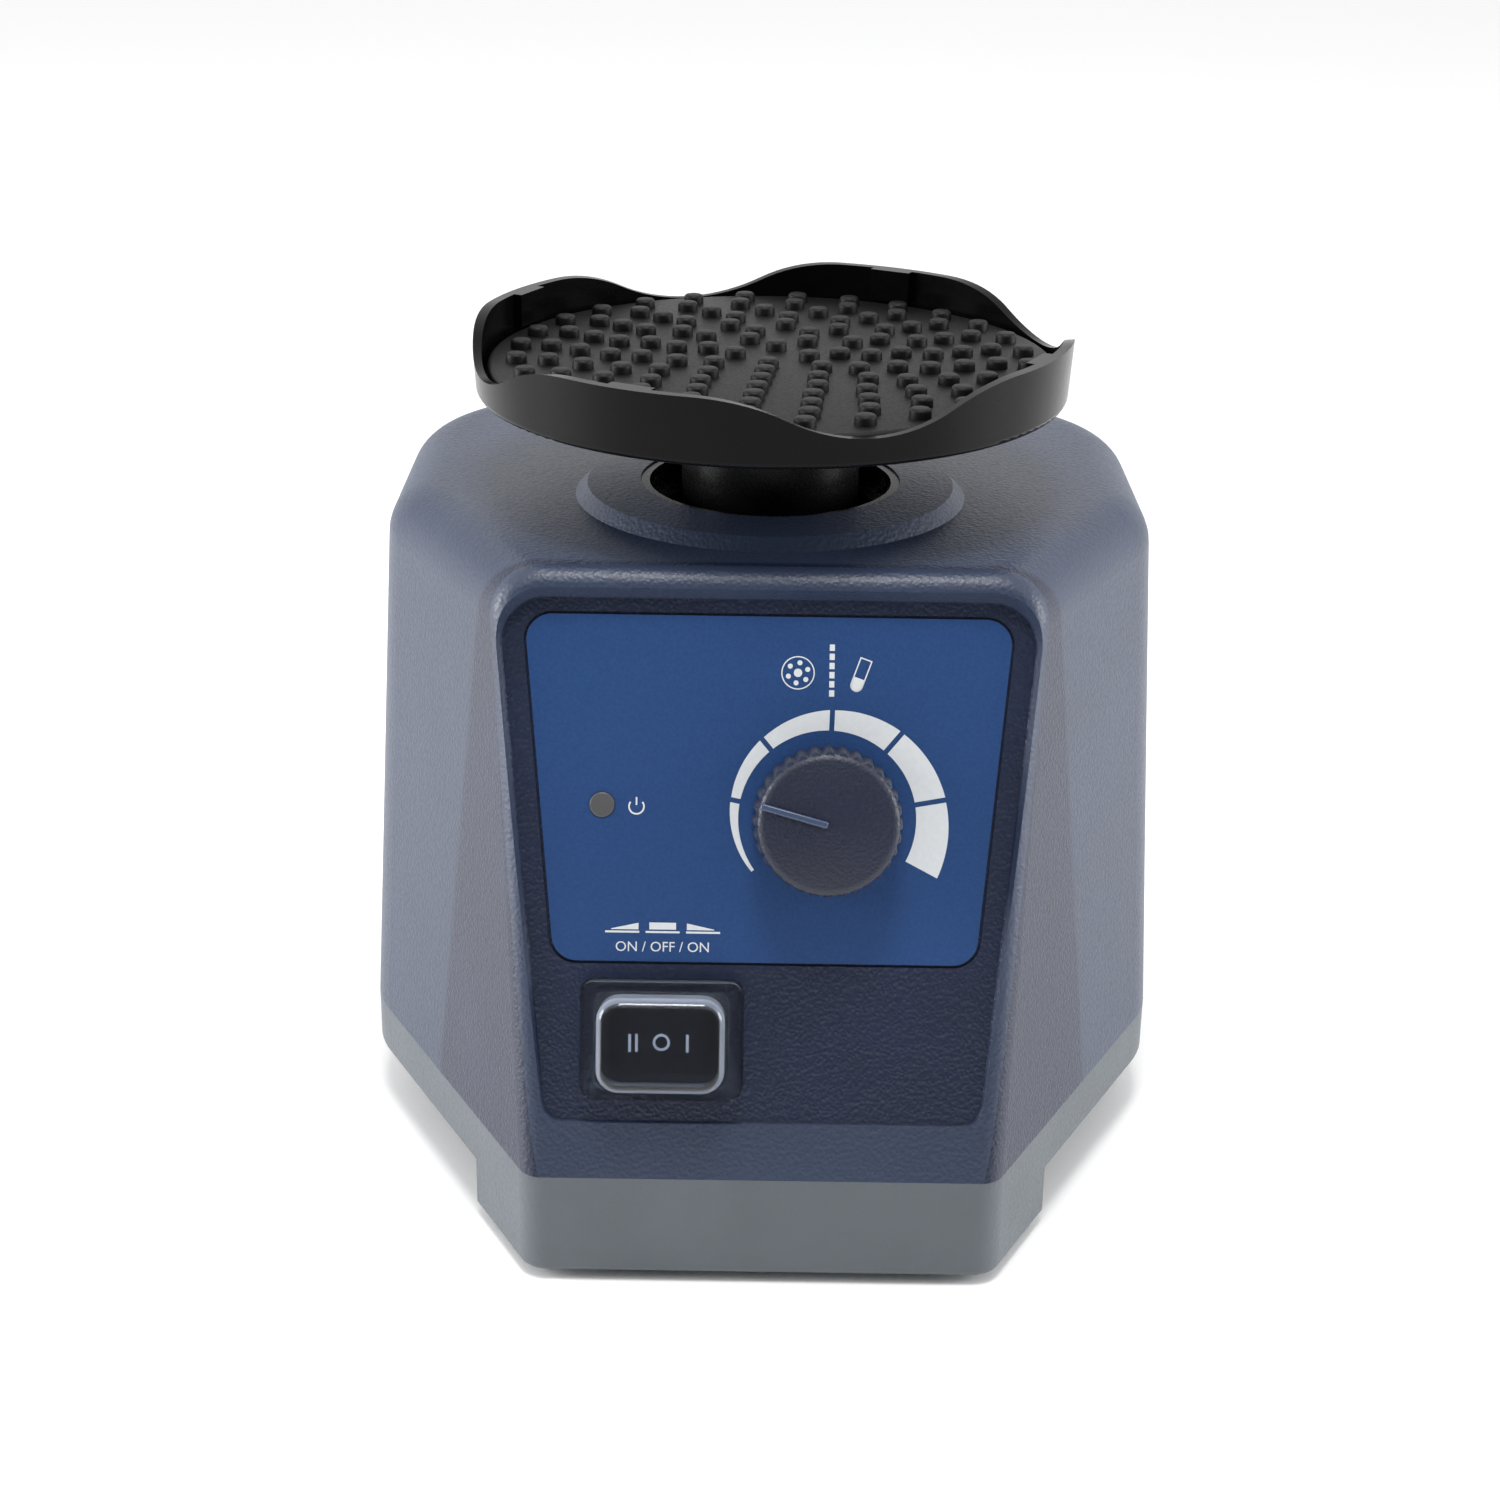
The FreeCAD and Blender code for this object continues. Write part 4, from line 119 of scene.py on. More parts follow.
def casing_abs():
    """Moulded ABS whose fine leather grain breaks up its gloss.

    The recessed panel's grain is deeper, as a second tool insert leaves it, and the panel is coloured darker as
    painted shade in the recess.
    """
    panel_rim, panel_back, fade = 0.35 * MM, -38.5 * MM, 1.0 * MM
    shell_grain, panel_grain = 0.6 * MM, 0.55 * MM
    shell_depth, panel_depth = 0.08 * MM, 0.12 * MM
    material, tree, shader, place = start_material("casing_abs_grain_and_painted_panel_shade")
    axis = Vector(joints["speed_turn"]["axis"])
    spot = Vector(joints["speed_turn"]["pos_m"])
    height = add_node(tree, "ShaderNodeVectorMath", {0: place, 1: -axis}, operation="DOT_PRODUCT")
    in_panel = add_node(tree, "ShaderNodeMath", {0: (height, "Value"), 1: -axis.dot(spot) + panel_rim},
                        operation="LESS_THAN")
    parts = add_node(tree, "ShaderNodeSeparateXYZ", {0: place})
    ahead = add_node(tree, "ShaderNodeMapRange", {"Value": (parts, "Y"), "From Min": panel_back,
                                                  "From Max": panel_back + fade, "To Min": 1.0,
                                                  "To Max": 0.0})
    # Mask of the recessed panel: its grain is made deeper there, and its colour darker as painted shade.
    panel_grain_and_painted_shade = add_node(tree, "ShaderNodeMath", {0: (in_panel, 0), 1: (ahead, 0)}, operation="MULTIPLY")
    fine = add_node(tree, "ShaderNodeTexVoronoi", {"Vector": place, "Scale": 1 / shell_grain},
                    feature="SMOOTH_F1")
    coarse = add_node(tree, "ShaderNodeTexVoronoi", {"Vector": place, "Scale": 1 / panel_grain},
                      feature="SMOOTH_F1")
    grain = add_node(tree, "ShaderNodeMix", {"Factor": (panel_grain_and_painted_shade, 0), "A": (fine, 0), "B": (coarse, 0)})
    cloud = add_node(tree, "ShaderNodeTexNoise", {"Vector": place, "Scale": 45.0, "Detail": 4.0})
    shell = two_tones(tree, (cloud, 0), "#29344A", "#2D384F")
    # The panel's darker tones are painted shade for the recess.
    panel = two_tones(tree, (cloud, 0), "#111C34", "#16213B")
    colour = add_node(tree, "ShaderNodeMix", {"Factor": (panel_grain_and_painted_shade, 0), 6: shell, 7: panel}, data_type="RGBA")
    tree.links.new(colour.outputs[2], shader.inputs["Base Color"])
    gloss = add_node(tree, "ShaderNodeMapRange", {"Value": (grain, 0), "From Min": 0.0, "From Max": 0.8,
                                                  "To Min": 0.36, "To Max": 0.48})
    tree.links.new(gloss.outputs[0], shader.inputs["Roughness"])
    depth = add_node(tree, "ShaderNodeMapRange", {"Value": (panel_grain_and_painted_shade, 0), "To Min": shell_depth,
                                                  "To Max": panel_depth})
    bump = add_node(tree, "ShaderNodeBump", {"Height": (grain, 0), "Strength": 1.0, "Distance": (depth, 0)},
                    invert=True)
    tree.links.new(bump.outputs[0], shader.inputs["Normal"])
    shader.inputs["IOR"].default_value = 1.53
    return material


def label_film():
    """Screen-printed polyester overlay: even blue with a fine velvet finish."""
    material, tree, shader, place = start_material("label_polyester_film")
    speck = add_node(tree, "ShaderNodeTexNoise", {"Vector": place, "Scale": 1 / (0.5 * MM), "Detail": 2.0})
    colour = two_tones(tree, (speck, 0), "#1C3D6E", "#204375")
    tree.links.new(colour[0].outputs[0], shader.inputs["Base Color"])
    bump = add_node(tree, "ShaderNodeBump", {"Height": (speck, 0), "Strength": 0.5, "Distance": 0.02 * MM})
    tree.links.new(bump.outputs[0], shader.inputs["Normal"])
    shader.inputs["Roughness"].default_value = 0.42
    return material


def print_ink(name, colour):
    """Opaque screen ink: flat, with a faint mottle."""
    material, tree, shader, place = start_material(name)
    mottle = add_node(tree, "ShaderNodeTexNoise", {"Vector": place, "Scale": 1 / (0.8 * MM), "Detail": 1.0})
    tone = two_tones(tree, (mottle, 0), colour[0], colour[1], 0.2, 0.8)
    tree.links.new(tone[0].outputs[0], shader.inputs["Base Color"])
    shader.inputs["Roughness"].default_value = 0.5
    return material


def clear_cap():
    """Clear moulded PVC: glossy, with a trace of flow lines; its flange and side walls are a little milky. The
    flange's bluish haze is painted light, standing in for the lit blue panel seen through it, and the walls' extra
    whiteness is partly a painted highlight along the cap's edges.
    """
    flange_top = 2.0 * MM
    material, tree, shader, place = start_material("cap_clear_pvc")
    flow = add_node(tree, "ShaderNodeTexNoise", {"Vector": place, "Scale": 250.0, "Detail": 1.0})
    bump = add_node(tree, "ShaderNodeBump", {"Height": (flow, 0), "Strength": 0.25, "Distance": 0.05 * MM})
    tree.links.new(bump.outputs[0], shader.inputs["Normal"])
    axis = -Vector(joints["speed_turn"]["axis"])
    spot = Vector(joints["speed_turn"]["pos_m"])
    face = add_node(tree, "ShaderNodeNewGeometry")
    lean = add_node(tree, "ShaderNodeVectorMath", {0: (face, "Normal"), 1: axis}, operation="DOT_PRODUCT")
    flat = add_node(tree, "ShaderNodeMath", {0: (lean, "Value")}, operation="ABSOLUTE")
    # Steep sides let less light through and show more white: milky, and partly a painted highlight along the
    # edges.
    milky_wall_and_painted_highlight = add_node(tree, "ShaderNodeMapRange", {"Value": (flat, 0), "From Min": 0.2, "From Max": 0.9,
                                                 "To Min": 0.72, "To Max": 0.99})
    level = add_node(tree, "ShaderNodeVectorMath", {0: place, 1: axis}, operation="DOT_PRODUCT")
    flange = add_node(tree, "ShaderNodeMath", {0: (level, "Value"), 1: axis.dot(spot) + flange_top},
                      operation="LESS_THAN")
    # The flange lets 8 % white show: painted light for the blue panel seen lit through it.
    clear = add_node(tree, "ShaderNodeMix", {"Factor": (flange, 0), "A": (milky_wall_and_painted_highlight, 0), "B": 0.92})
    tree.links.new(clear.outputs[0], shader.inputs["Transmission Weight"])
    # Bluish white, which tints the flange's painted light.
    shader.inputs["Base Color"].default_value = linear("#DDE5F3")
    shader.inputs["Roughness"].default_value = 0.03
    shader.inputs["IOR"].default_value = 1.45
    return material


def metal(name, dark, light, roughness, line=None):
    """Bare metal; machined or rolled lines where a spacing in mm is given, otherwise a cast mottle."""
    material, tree, shader, place = start_material(name)
    if line:
        marks = add_node(tree, "ShaderNodeTexWave", {"Vector": place, "Scale": 0.314 / (line * MM),
                                                     "Distortion": 1.5}, bands_direction="Z")
    else:
        marks = add_node(tree, "ShaderNodeTexNoise", {"Vector": place, "Scale": 900.0, "Detail": 4.0})
    tone = two_tones(tree, (marks, 0), dark, light, 0.1, 0.9)
    tree.links.new(tone[0].outputs[0], shader.inputs["Base Color"])
    bump = add_node(tree, "ShaderNodeBump", {"Height": (marks, 0), "Strength": 0.4, "Distance": 0.02 * MM})
    tree.links.new(bump.outputs[0], shader.inputs["Normal"])
    shader.inputs["Metallic"].default_value = 1.0
    shader.inputs["Roughness"].default_value = roughness
    return material


MATERIALS = {
    "casing_plastic": casing_abs(),
    # Base: grey ABS with a fine, even grain, flatter to the eye than the casing.
    "base_plastic": moulded("base_abs_fine_grain", "#50575D", "#555C62", 0.6, 0.05, 0.46),
    # Feet and isolators: nitrile rubber, dull and nearly black.
    "rubber": moulded("foot_nitrile_rubber", "#17171A", "#1D1D20", 0.9, 0.06, 0.62, 1.5),
    # Hub and small fittings: smooth black ABS with soft upright highlights.
    "black_plastic": moulded("drive_black_abs", "#0A0A0B", "#0D0D0E", 0.3, 0.004, 0.26, 1.3),
    "label_film": label_film(),
    # Knob: spark-eroded ABS, whose close grain gives the face a soft sheen.
    "knob_plastic": moulded("knob_abs_spark_grain", "#161C2F", "#1A2034", 0.45, 0.05, 0.42),
    "clear_plastic": clear_cap(),
    # Lamp lens: smoked acrylic, grey and half shiny.
    "lens_plastic": moulded("lens_smoked_acrylic", "#4E4E50", "#58585A", 0.5, 0.02, 0.35, 1.49),
    # Circuit board: glass epoxy under green lacquer, with a faint weave.
    "board_laminate": moulded("board_glass_epoxy", "#123D22", "#16492A", 1.2, 0.02, 0.4),
    # Shaft, pins and screws: turned steel, bright, with fine tool lines.
    "bright_steel": metal("turned_bright_steel", "#9C9C9E", "#B8B8BA", 0.28, 0.35),
    # Plates: zinc-plated sheet, pale and slightly cloudy.
    "plate_steel": metal("zinc_plated_steel", "#84888C", "#9DA1A4", 0.38),
    # Stator and rotor: stacked sheets, dark with a line at each sheet.
    "lamination_steel": metal("stacked_silicon_steel", "#4A4B4E", "#5E5F62", 0.45, 0.5),
    # Motor bells: die-cast aluminium, pale and softly mottled.
    "aluminium": metal("die_cast_aluminium", "#A6A8AA", "#BDBFC1", 0.4),
    # Windings: enamelled wire, warm brown with a line at each turn.
    "copper": metal("enamelled_copper_wire", "#8A4A22", "#A85F30", 0.3, 0.6),
    # Blades and terminals: stamped brass, warm and bright.
    "brass": metal("stamped_brass", "#B08F4A", "#C8A65C", 0.3),
}
# Switch: polished polyamide, a deep black with clear reflections.
GLOSSY_BLACK = moulded("switch_glossy_polyamide", "#0B0B0D", "#0E0E10", 0.8, 0.008, 0.16)
# Platform: satin black ABS, smooth, lighter only where it faces the side lights.
PLATFORM_BLACK = moulded("platform_satin_abs", "#060607", "#080809", 0.3, 0.002, 0.2, 1.2)
# Pointer: the knob's ABS, coloured lighter and made glossier than the knob's face.
POINTER_LIGHTER = moulded("pointer_lighter_abs", "#3A4660", "#404C67", 0.45, 0.01, 0.28)
# Mat: moulded rubber, black with a soft sheen on its flat floor.
MAT_RUBBER = moulded("mat_moulded_rubber", "#09090A", "#0C0C0D", 0.5, 0.012, 0.5, 1.32)
# Inks: opaque white, greyer on the label than on the rocker.
PRINT_WHITE = print_ink("label_white_ink", ("#CED2D5", "#D4D8DB"))
ROCKER_WHITE = print_ink("rocker_white_ink", ("#E6E7E8", "#EFF0F1"))


def paint(piece, material):
    """Makes a finish the only one on a piece."""
    piece.data.materials.clear()
    piece.data.materials.append(material)


def finish_cad_nodes():
    """Gives every CAD node its finish, by the record's slot for it."""
    own = {"switch_housing": GLOSSY_BLACK, "rocker": GLOSSY_BLACK, "platform": PLATFORM_BLACK,
           "head_hub": MATERIALS["black_plastic"]}
    for entry in frame["record"]["subparts"]:
        name = entry["node"]
        paint(nodes[name], own.get(name, MATERIALS[entry["material_slot"]]))


def deselect():
    """Leaves edit mode and selects nothing."""
    if bpy.context.object and bpy.context.object.mode != "OBJECT":
        bpy.ops.object.mode_set(mode="OBJECT")
    bpy.ops.object.select_all(action="DESELECT")


def activate(piece):
    """Selects one piece alone and makes it the active one."""
    deselect()
    piece.select_set(True)
    bpy.context.view_layer.objects.active = piece
    return piece


def settle(piece, matrix):
    """Puts a finished piece where it belongs, with its place in its mesh."""
    activate(piece)
    piece.matrix_world = matrix @ piece.matrix_world
    bpy.ops.object.transform_apply(location=True, rotation=True, scale=True)
    return piece


def select_faces(piece, test):
    """Leaves edit mode on with just the faces that pass a test on their centre and normal selected."""
    activate(piece)
    bpy.ops.object.mode_set(mode="EDIT")
    bpy.ops.mesh.select_mode(type="FACE")
    bpy.ops.mesh.select_all(action="DESELECT")
    bpy.ops.object.mode_set(mode="OBJECT")
    for face in piece.data.polygons:
        face.select = test(face.center, face.normal)
    bpy.ops.object.mode_set(mode="EDIT")


def join(name, pieces):
    """Joins pieces into the first one."""
    deselect()
    for piece in pieces:
        piece.select_set(True)
    bpy.context.view_layer.objects.active = pieces[0]
    if len(pieces) > 1:
        bpy.ops.object.join()
    whole = bpy.context.object
    whole.name = name
    whole.data.name = name
    return whole


def panel_matrix():
    """Frame of the control panel at the dial's centre: x right, y up the slope, z out."""
    out = -Vector(joints["speed_turn"]["axis"])
    right = Vector((1, 0, 0))
    up = out.cross(right)
    turn = Matrix((right, up, out)).transposed().to_4x4()
    return Matrix.Translation(Vector(joints["speed_turn"]["pos_m"])) @ turn


INK_LIFT = 0.04 * MM
DIAL = (9.5, 7.0)


def bar(width, height, x, y, turn=0.0):
    """A flat printed bar, in mm."""
    deselect()
    bpy.ops.mesh.primitive_plane_add(size=1, location=(x * MM, y * MM, INK_LIFT), rotation=(0, 0, turn))
    bpy.ops.transform.resize(value=(width * MM, height * MM, 1), orient_type="LOCAL")
    bpy.ops.object.transform_apply(location=True, rotation=True, scale=True)
    return bpy.context.object


def dot(radius, x, y, sides=32):
    """A flat printed disc, in mm."""
    deselect()
    bpy.ops.mesh.primitive_circle_add(vertices=sides, radius=radius * MM, fill_type="NGON",
                                      location=(x * MM, y * MM, INK_LIFT))
    bpy.ops.object.transform_apply(location=True)
    return bpy.context.object


def ring(radius, stroke, x, y, sides=48):
    """A flat printed ring: a filled circle, inset by the stroke, with its middle taken out."""
    piece = dot(radius, x, y, sides)
    bpy.ops.object.mode_set(mode="EDIT")
    bpy.ops.mesh.select_all(action="SELECT")
    bpy.ops.mesh.inset(thickness=stroke * MM)
    bpy.ops.mesh.delete(type="FACE")
    bpy.ops.object.mode_set(mode="OBJECT")
    return piece


def dial_arc(start, end, first, last):
    """One segment of the dial, clockwise from the left in degrees; it widens along the whole dial."""
    inner, thin, wide, gap = 13.95, 0.5, 5.65, 0.4
    low, high = -35.6, 207.5
    deselect()
    bpy.ops.mesh.primitive_grid_add(x_subdivisions=20, y_subdivisions=1, size=1)
    piece = bpy.context.object
    for vertex in piece.data.vertices:
        along, out = vertex.co.x + 0.5, vertex.co.y + 0.5
        share = max((start + (end - start) * along - low) / (high - low), 0.0)
        radius = inner + out * (thin + (wide - thin) * share)
        trim = math.degrees(math.asin(gap / radius))
        begin = start if first else start + trim
        finish = end if last else end - trim
        angle = math.radians(180 - begin - (finish - begin) * along)
        vertex.co = Vector((radius * math.cos(angle) * MM, radius * math.sin(angle) * MM, INK_LIFT))
    activate(piece)
    bpy.ops.object.mode_set(mode="EDIT")
    bpy.ops.mesh.select_all(action="SELECT")
    bpy.ops.mesh.flip_normals()
    bpy.ops.object.mode_set(mode="OBJECT")
    return piece


def outward(piece):
    """Turns a flat print's faces out of the panel."""
    if sum(face.normal.z for face in piece.data.polygons) < 0:
        activate(piece)
        bpy.ops.object.mode_set(mode="EDIT")
        bpy.ops.mesh.select_all(action="SELECT")
        bpy.ops.mesh.flip_normals()
        bpy.ops.object.mode_set(mode="OBJECT")
    return piece


def printed(name, pieces, matrix, ink=PRINT_WHITE, body="housing"):
    """Joins flat prints, seats them and lets them ride."""
    whole = settle(join(name, [outward(piece) for piece in pieces]), matrix)
    paint(whole, ink)
    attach(whole, body)
    return whole


def words(text, height, x, y):
    """Plain sans capitals as a flat mesh, centred, with the given capital height in mm."""
    deselect()
    bpy.ops.object.text_add(location=(0, 0, 0))
    line = bpy.context.object
    line.data.body = text
    line.data.align_x = "CENTER"
    line.data.align_y = "CENTER"
    line.data.size = height * MM / 0.69
    line.data.resolution_u = 3
    bpy.ops.object.convert(target="MESH")
    line = bpy.context.object
    line.location = (x * MM, y * MM, INK_LIFT)
    bpy.ops.object.transform_apply(location=True, rotation=True, scale=True)
    return line


def tube_outline(length, radius, lean, x, y):
    """A slanted test tube: an outline with a rounded foot, and its filling."""
    stroke, full, inner = 0.2, 0.22, radius - 0.1
    outline = dot(radius, 0, 0, 24)
    for vertex in outline.data.vertices:
        if vertex.co.y > 1e-7:
            vertex.co.y = (length - radius) * MM
            vertex.co.x = math.copysign(radius * MM, vertex.co.x) if abs(vertex.co.x) > 1e-7 else 0
    filling = dot(inner, 0, 0, 24)
    for vertex in filling.data.vertices:
        if vertex.co.y > 1e-7:
            vertex.co.y = length * full * MM
            vertex.co.x = math.copysign(inner * MM, vertex.co.x) if abs(vertex.co.x) > 1e-7 else 0
    activate(outline)
    bpy.ops.object.mode_set(mode="EDIT")
    bpy.ops.mesh.select_all(action="SELECT")
    bpy.ops.mesh.remove_doubles(threshold=1e-6)
    bpy.ops.mesh.select_all(action="SELECT")
    bpy.ops.mesh.inset(thickness=stroke * MM)
    bpy.ops.mesh.delete(type="FACE")
    bpy.ops.object.mode_set(mode="OBJECT")
    matrix = Matrix.Translation(Vector((x * MM, y * MM, 0))) @ Matrix.Rotation(math.radians(-lean), 4, "Z")
    return [settle(piece, matrix) for piece in (outline, filling)]


def wedge(width, height, x, y, rise):
    """A printed wedge: a bar with one end drawn down to its foot."""
    piece = bar(width, height, x, y)
    for vertex in piece.data.vertices:
        if vertex.co.y > y * MM and (vertex.co.x - x * MM) * rise < 0:
            vertex.co.y = (y - height / 2 + 0.12) * MM
    return piece


def label_print():
    """Everything that is printed on the label, placed from the dial's centre in mm."""
    panel = panel_matrix()
    stops = [-35.6, 10.8, 50.2, 91.9, 130.0, 169.8, 207.5]
    arcs = [dial_arc(stops[k], stops[k + 1], k == 0, k == 5) for k in range(6)]
    printed("dial_arcs", arcs, panel)
    at = Matrix.Translation(Vector((-DIAL[0] * MM, -DIAL[1] * MM, 0)))
    right, up, pitch = 4.57, 29.9, 1.6
    holder = [ring(2.62, 0.19, right, up), dot(0.66, right, up)]
    for k in range(6):
        turn = math.radians(60 * k + 20)
        holder.append(dot(0.4, right + pitch * math.cos(turn), up + pitch * math.sin(turn), 20))
    printed("holder_sign", holder, panel @ at)
    dashes = [bar(0.8, 1.0, 9.87, 26.75 + 1.43 * k) for k in range(6)]
    printed("sign_divider", dashes, panel @ at)
    printed("tube_sign", tube_outline(5.4, 1.0, 20, 13.75, 28.05), panel @ at)
    middle = -16.05
    signs = [bar(5.35, 0.32, x, -11.15) for x in (-22.4, middle, -9.7)]
    signs.append(wedge(4.3, 1.05, -22.0, -10.25, 1))
    signs.append(bar(4.2, 1.1, middle, -10.2))
    signs.append(wedge(4.3, 1.05, -10.1, -10.25, -1))
    printed("switch_signs", signs, panel @ at)
    printed("switch_words", [words("ON / OFF / ON", 1.55, middle, -13.55)], panel @ at)
    right, up = -20.4, 8.6
    sign = ring(1.3, 0.26, right, up)
    select_faces(sign, lambda centre, normal: centre.y > (up + 0.75) * MM)
    bpy.ops.mesh.delete(type="FACE")
    bpy.ops.object.mode_set(mode="OBJECT")
    printed("lamp_sign", [sign, bar(0.26, 1.25, right, up + 0.85)], panel @ at)


def rocker_marks():
    """Position marks on the rocker, laid on its two sloping faces."""
    pivot = joints["rocker_tilt"]
    up = Vector(pivot["axis"])
    right = Vector((1, 0, 0))
    turn = Matrix((right, up, right.cross(up))).transposed().to_4x4()
    seat = Matrix.Translation(Vector(pivot["pos_m"])) @ turn
    marks = [bar(0.42, 2.8, -4.95, -0.4), bar(0.42, 2.8, -3.9, -0.4), bar(0.42, 2.8, 4.1, -0.4),
             ring(1.35, 0.4, 0, -0.4, 40)]
    middle, slope, ink = 2.9, 1.4 / 6.75, 0.05
    for mark in marks:
        for vertex in mark.data.vertices:
            vertex.co.z = (middle + slope * abs(vertex.co.x) / MM + ink) * MM
    printed("rocker_marks", marks, seat, ROCKER_WHITE, "rocker")


def grow_rings(reach, height, rings):
    """Extrudes the selected ring on through (radius, height) stations in mm, about the Z axis."""
    for radius, level in rings:
        bpy.ops.mesh.extrude_region_move(TRANSFORM_OT_translate={"value": (0, 0, (level - height) * MM)})
        grow = radius / reach
        bpy.ops.transform.resize(value=(grow, grow, 1), center_override=(0, 0, level * MM))
        reach, height = radius, level


def knob_grip():
    """The knob's body: a waved grip, a soft shoulder and a low cone, hollow below around its spindle."""
    foot, lift, flutes, wave_depth = 11.8, 0.8, 32, 0.045
    shoulder = [(11.35, 8.6), (11.15, 9.5), (10.85, 10.15), (10.4, 10.5), (9.8, 10.65)]
    cone = [(5.0, 11.2), (0.6, 11.7)]
    hollow = [(9.4, lift), (9.4, 5.4), (3.1, 5.4)]
    deselect()
    bpy.ops.mesh.primitive_circle_add(vertices=256, radius=foot * MM, fill_type="NOTHING",
                                      location=(0, 0, lift * MM))
    bpy.ops.object.transform_apply(location=True)
    grip = bpy.context.object
    bpy.ops.object.mode_set(mode="EDIT")
    bpy.ops.mesh.select_mode(type="VERT")
    bpy.ops.mesh.select_all(action="SELECT")
    grow_rings(foot, lift, shoulder + cone)
    bpy.ops.mesh.edge_face_add()
    bpy.ops.mesh.select_all(action="DESELECT")
    bpy.ops.object.mode_set(mode="OBJECT")
    for vertex in grip.data.vertices:
        vertex.select = vertex.co.z < (lift + 0.01) * MM
    bpy.ops.object.mode_set(mode="EDIT")
    grow_rings(foot, lift, hollow)
    bpy.ops.mesh.select_all(action="SELECT")
    bpy.ops.mesh.normals_make_consistent(inside=False)
    bpy.ops.object.mode_set(mode="OBJECT")
    for vertex in grip.data.vertices:
        reach = math.hypot(vertex.co.x, vertex.co.y)
        if reach > 11.0 * MM:
            wave = 0.5 - 0.5 * math.cos(flutes * math.atan2(vertex.co.y, vertex.co.x))
            vertex.co.x *= 1 - wave_depth * wave * wave
            vertex.co.y *= 1 - wave_depth * wave * wave
    return grip


def knob_pointer():
    """The knob's raised pointer: a thin rounded bar."""
    length, width, height, round_edge = 10.7, 1.05, 1.0, 0.3
    deselect()
    bpy.ops.mesh.primitive_cube_add(size=1, location=(0, 0, 0))
    bpy.ops.transform.resize(value=(length * MM, width * MM, height * MM))
    bpy.ops.object.transform_apply(location=True, rotation=True, scale=True)
    pointer = bpy.context.object
    bpy.ops.object.mode_set(mode="EDIT")
    bpy.ops.mesh.select_all(action="SELECT")
    bpy.ops.mesh.bevel(offset=round_edge * MM, segments=3, affect="EDGES")
    bpy.ops.object.mode_set(mode="OBJECT")
    return pointer


def speed_knob():
    """The speed knob on its spindle, with its pointer lying along the cone towards the dial's low end."""
    panel = panel_matrix()
    grip = knob_grip()
    pointer = knob_pointer()
    lean = Matrix.Rotation(math.radians(6.0), 4, "Y")
    spot = Matrix.Translation(Vector((5.5 * MM, 0, 11.12 * MM)))
    settle(grip, panel)
    settle(pointer, panel @ Matrix.Rotation(math.radians(165.2), 4, "Z") @ spot @ lean)
    finishes = ((grip, "knob_grip", MATERIALS["knob_plastic"]), (pointer, "knob_pointer", POINTER_LIGHTER))
    for piece, name, finish in finishes:
        piece.name = name
        piece.data.name = name
        activate(piece)
        bpy.ops.object.shade_smooth_by_angle(angle=math.radians(35))
        paint(piece, finish)
        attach(piece, "knob")
        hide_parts("speed_knob")


def isolator_columns():
    """Waisted rubber columns under the motor plate."""
    low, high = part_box("isolators")
    wide, bore, press = 6.0, 2.3, 1.5
    tall = (high[2] - low[2]) / MM
    deselect()
    bpy.ops.mesh.primitive_circle_add(vertices=48, radius=wide * MM, fill_type="NOTHING")
    column = bpy.context.object
    bpy.ops.object.mode_set(mode="EDIT")
    bpy.ops.mesh.select_mode(type="VERT")
    bpy.ops.mesh.select_all(action="SELECT")
    flare, neck, waist = 1.2, (5.5, 2.4), 5.3
    side = [(wide, flare), neck, (waist, tall / 2), (neck[0], tall - neck[1])]
    side += [(wide, tall - flare), (wide, tall)]
    grow_rings(wide, 0.0, side + [(bore, tall), (bore, 0.0), (wide, 0.0)])
    bpy.ops.mesh.select_all(action="SELECT")
    bpy.ops.mesh.remove_doubles(threshold=1e-6)
    bpy.ops.mesh.normals_make_consistent(inside=False)
    bpy.ops.object.mode_set(mode="OBJECT")
    pieces = []
    for x in (low[0] + wide * MM, high[0] - wide * MM):
        for y in (low[1] + wide * MM, high[1] - wide * MM):
            copy = column.copy()
            copy.data = column.data.copy()
            copy.location = (x, y, low[2])
            bpy.context.collection.objects.link(copy)
            pieces.append(copy)
    bpy.data.objects.remove(column)
    columns = settle(join("isolator_columns", pieces), Matrix.Identity(4))
    bpy.ops.object.shade_smooth_by_angle(angle=math.radians(40))
    paint(columns, MATERIALS["rubber"])
    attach(columns, "housing")
    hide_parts("isolators")
    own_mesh(columns)


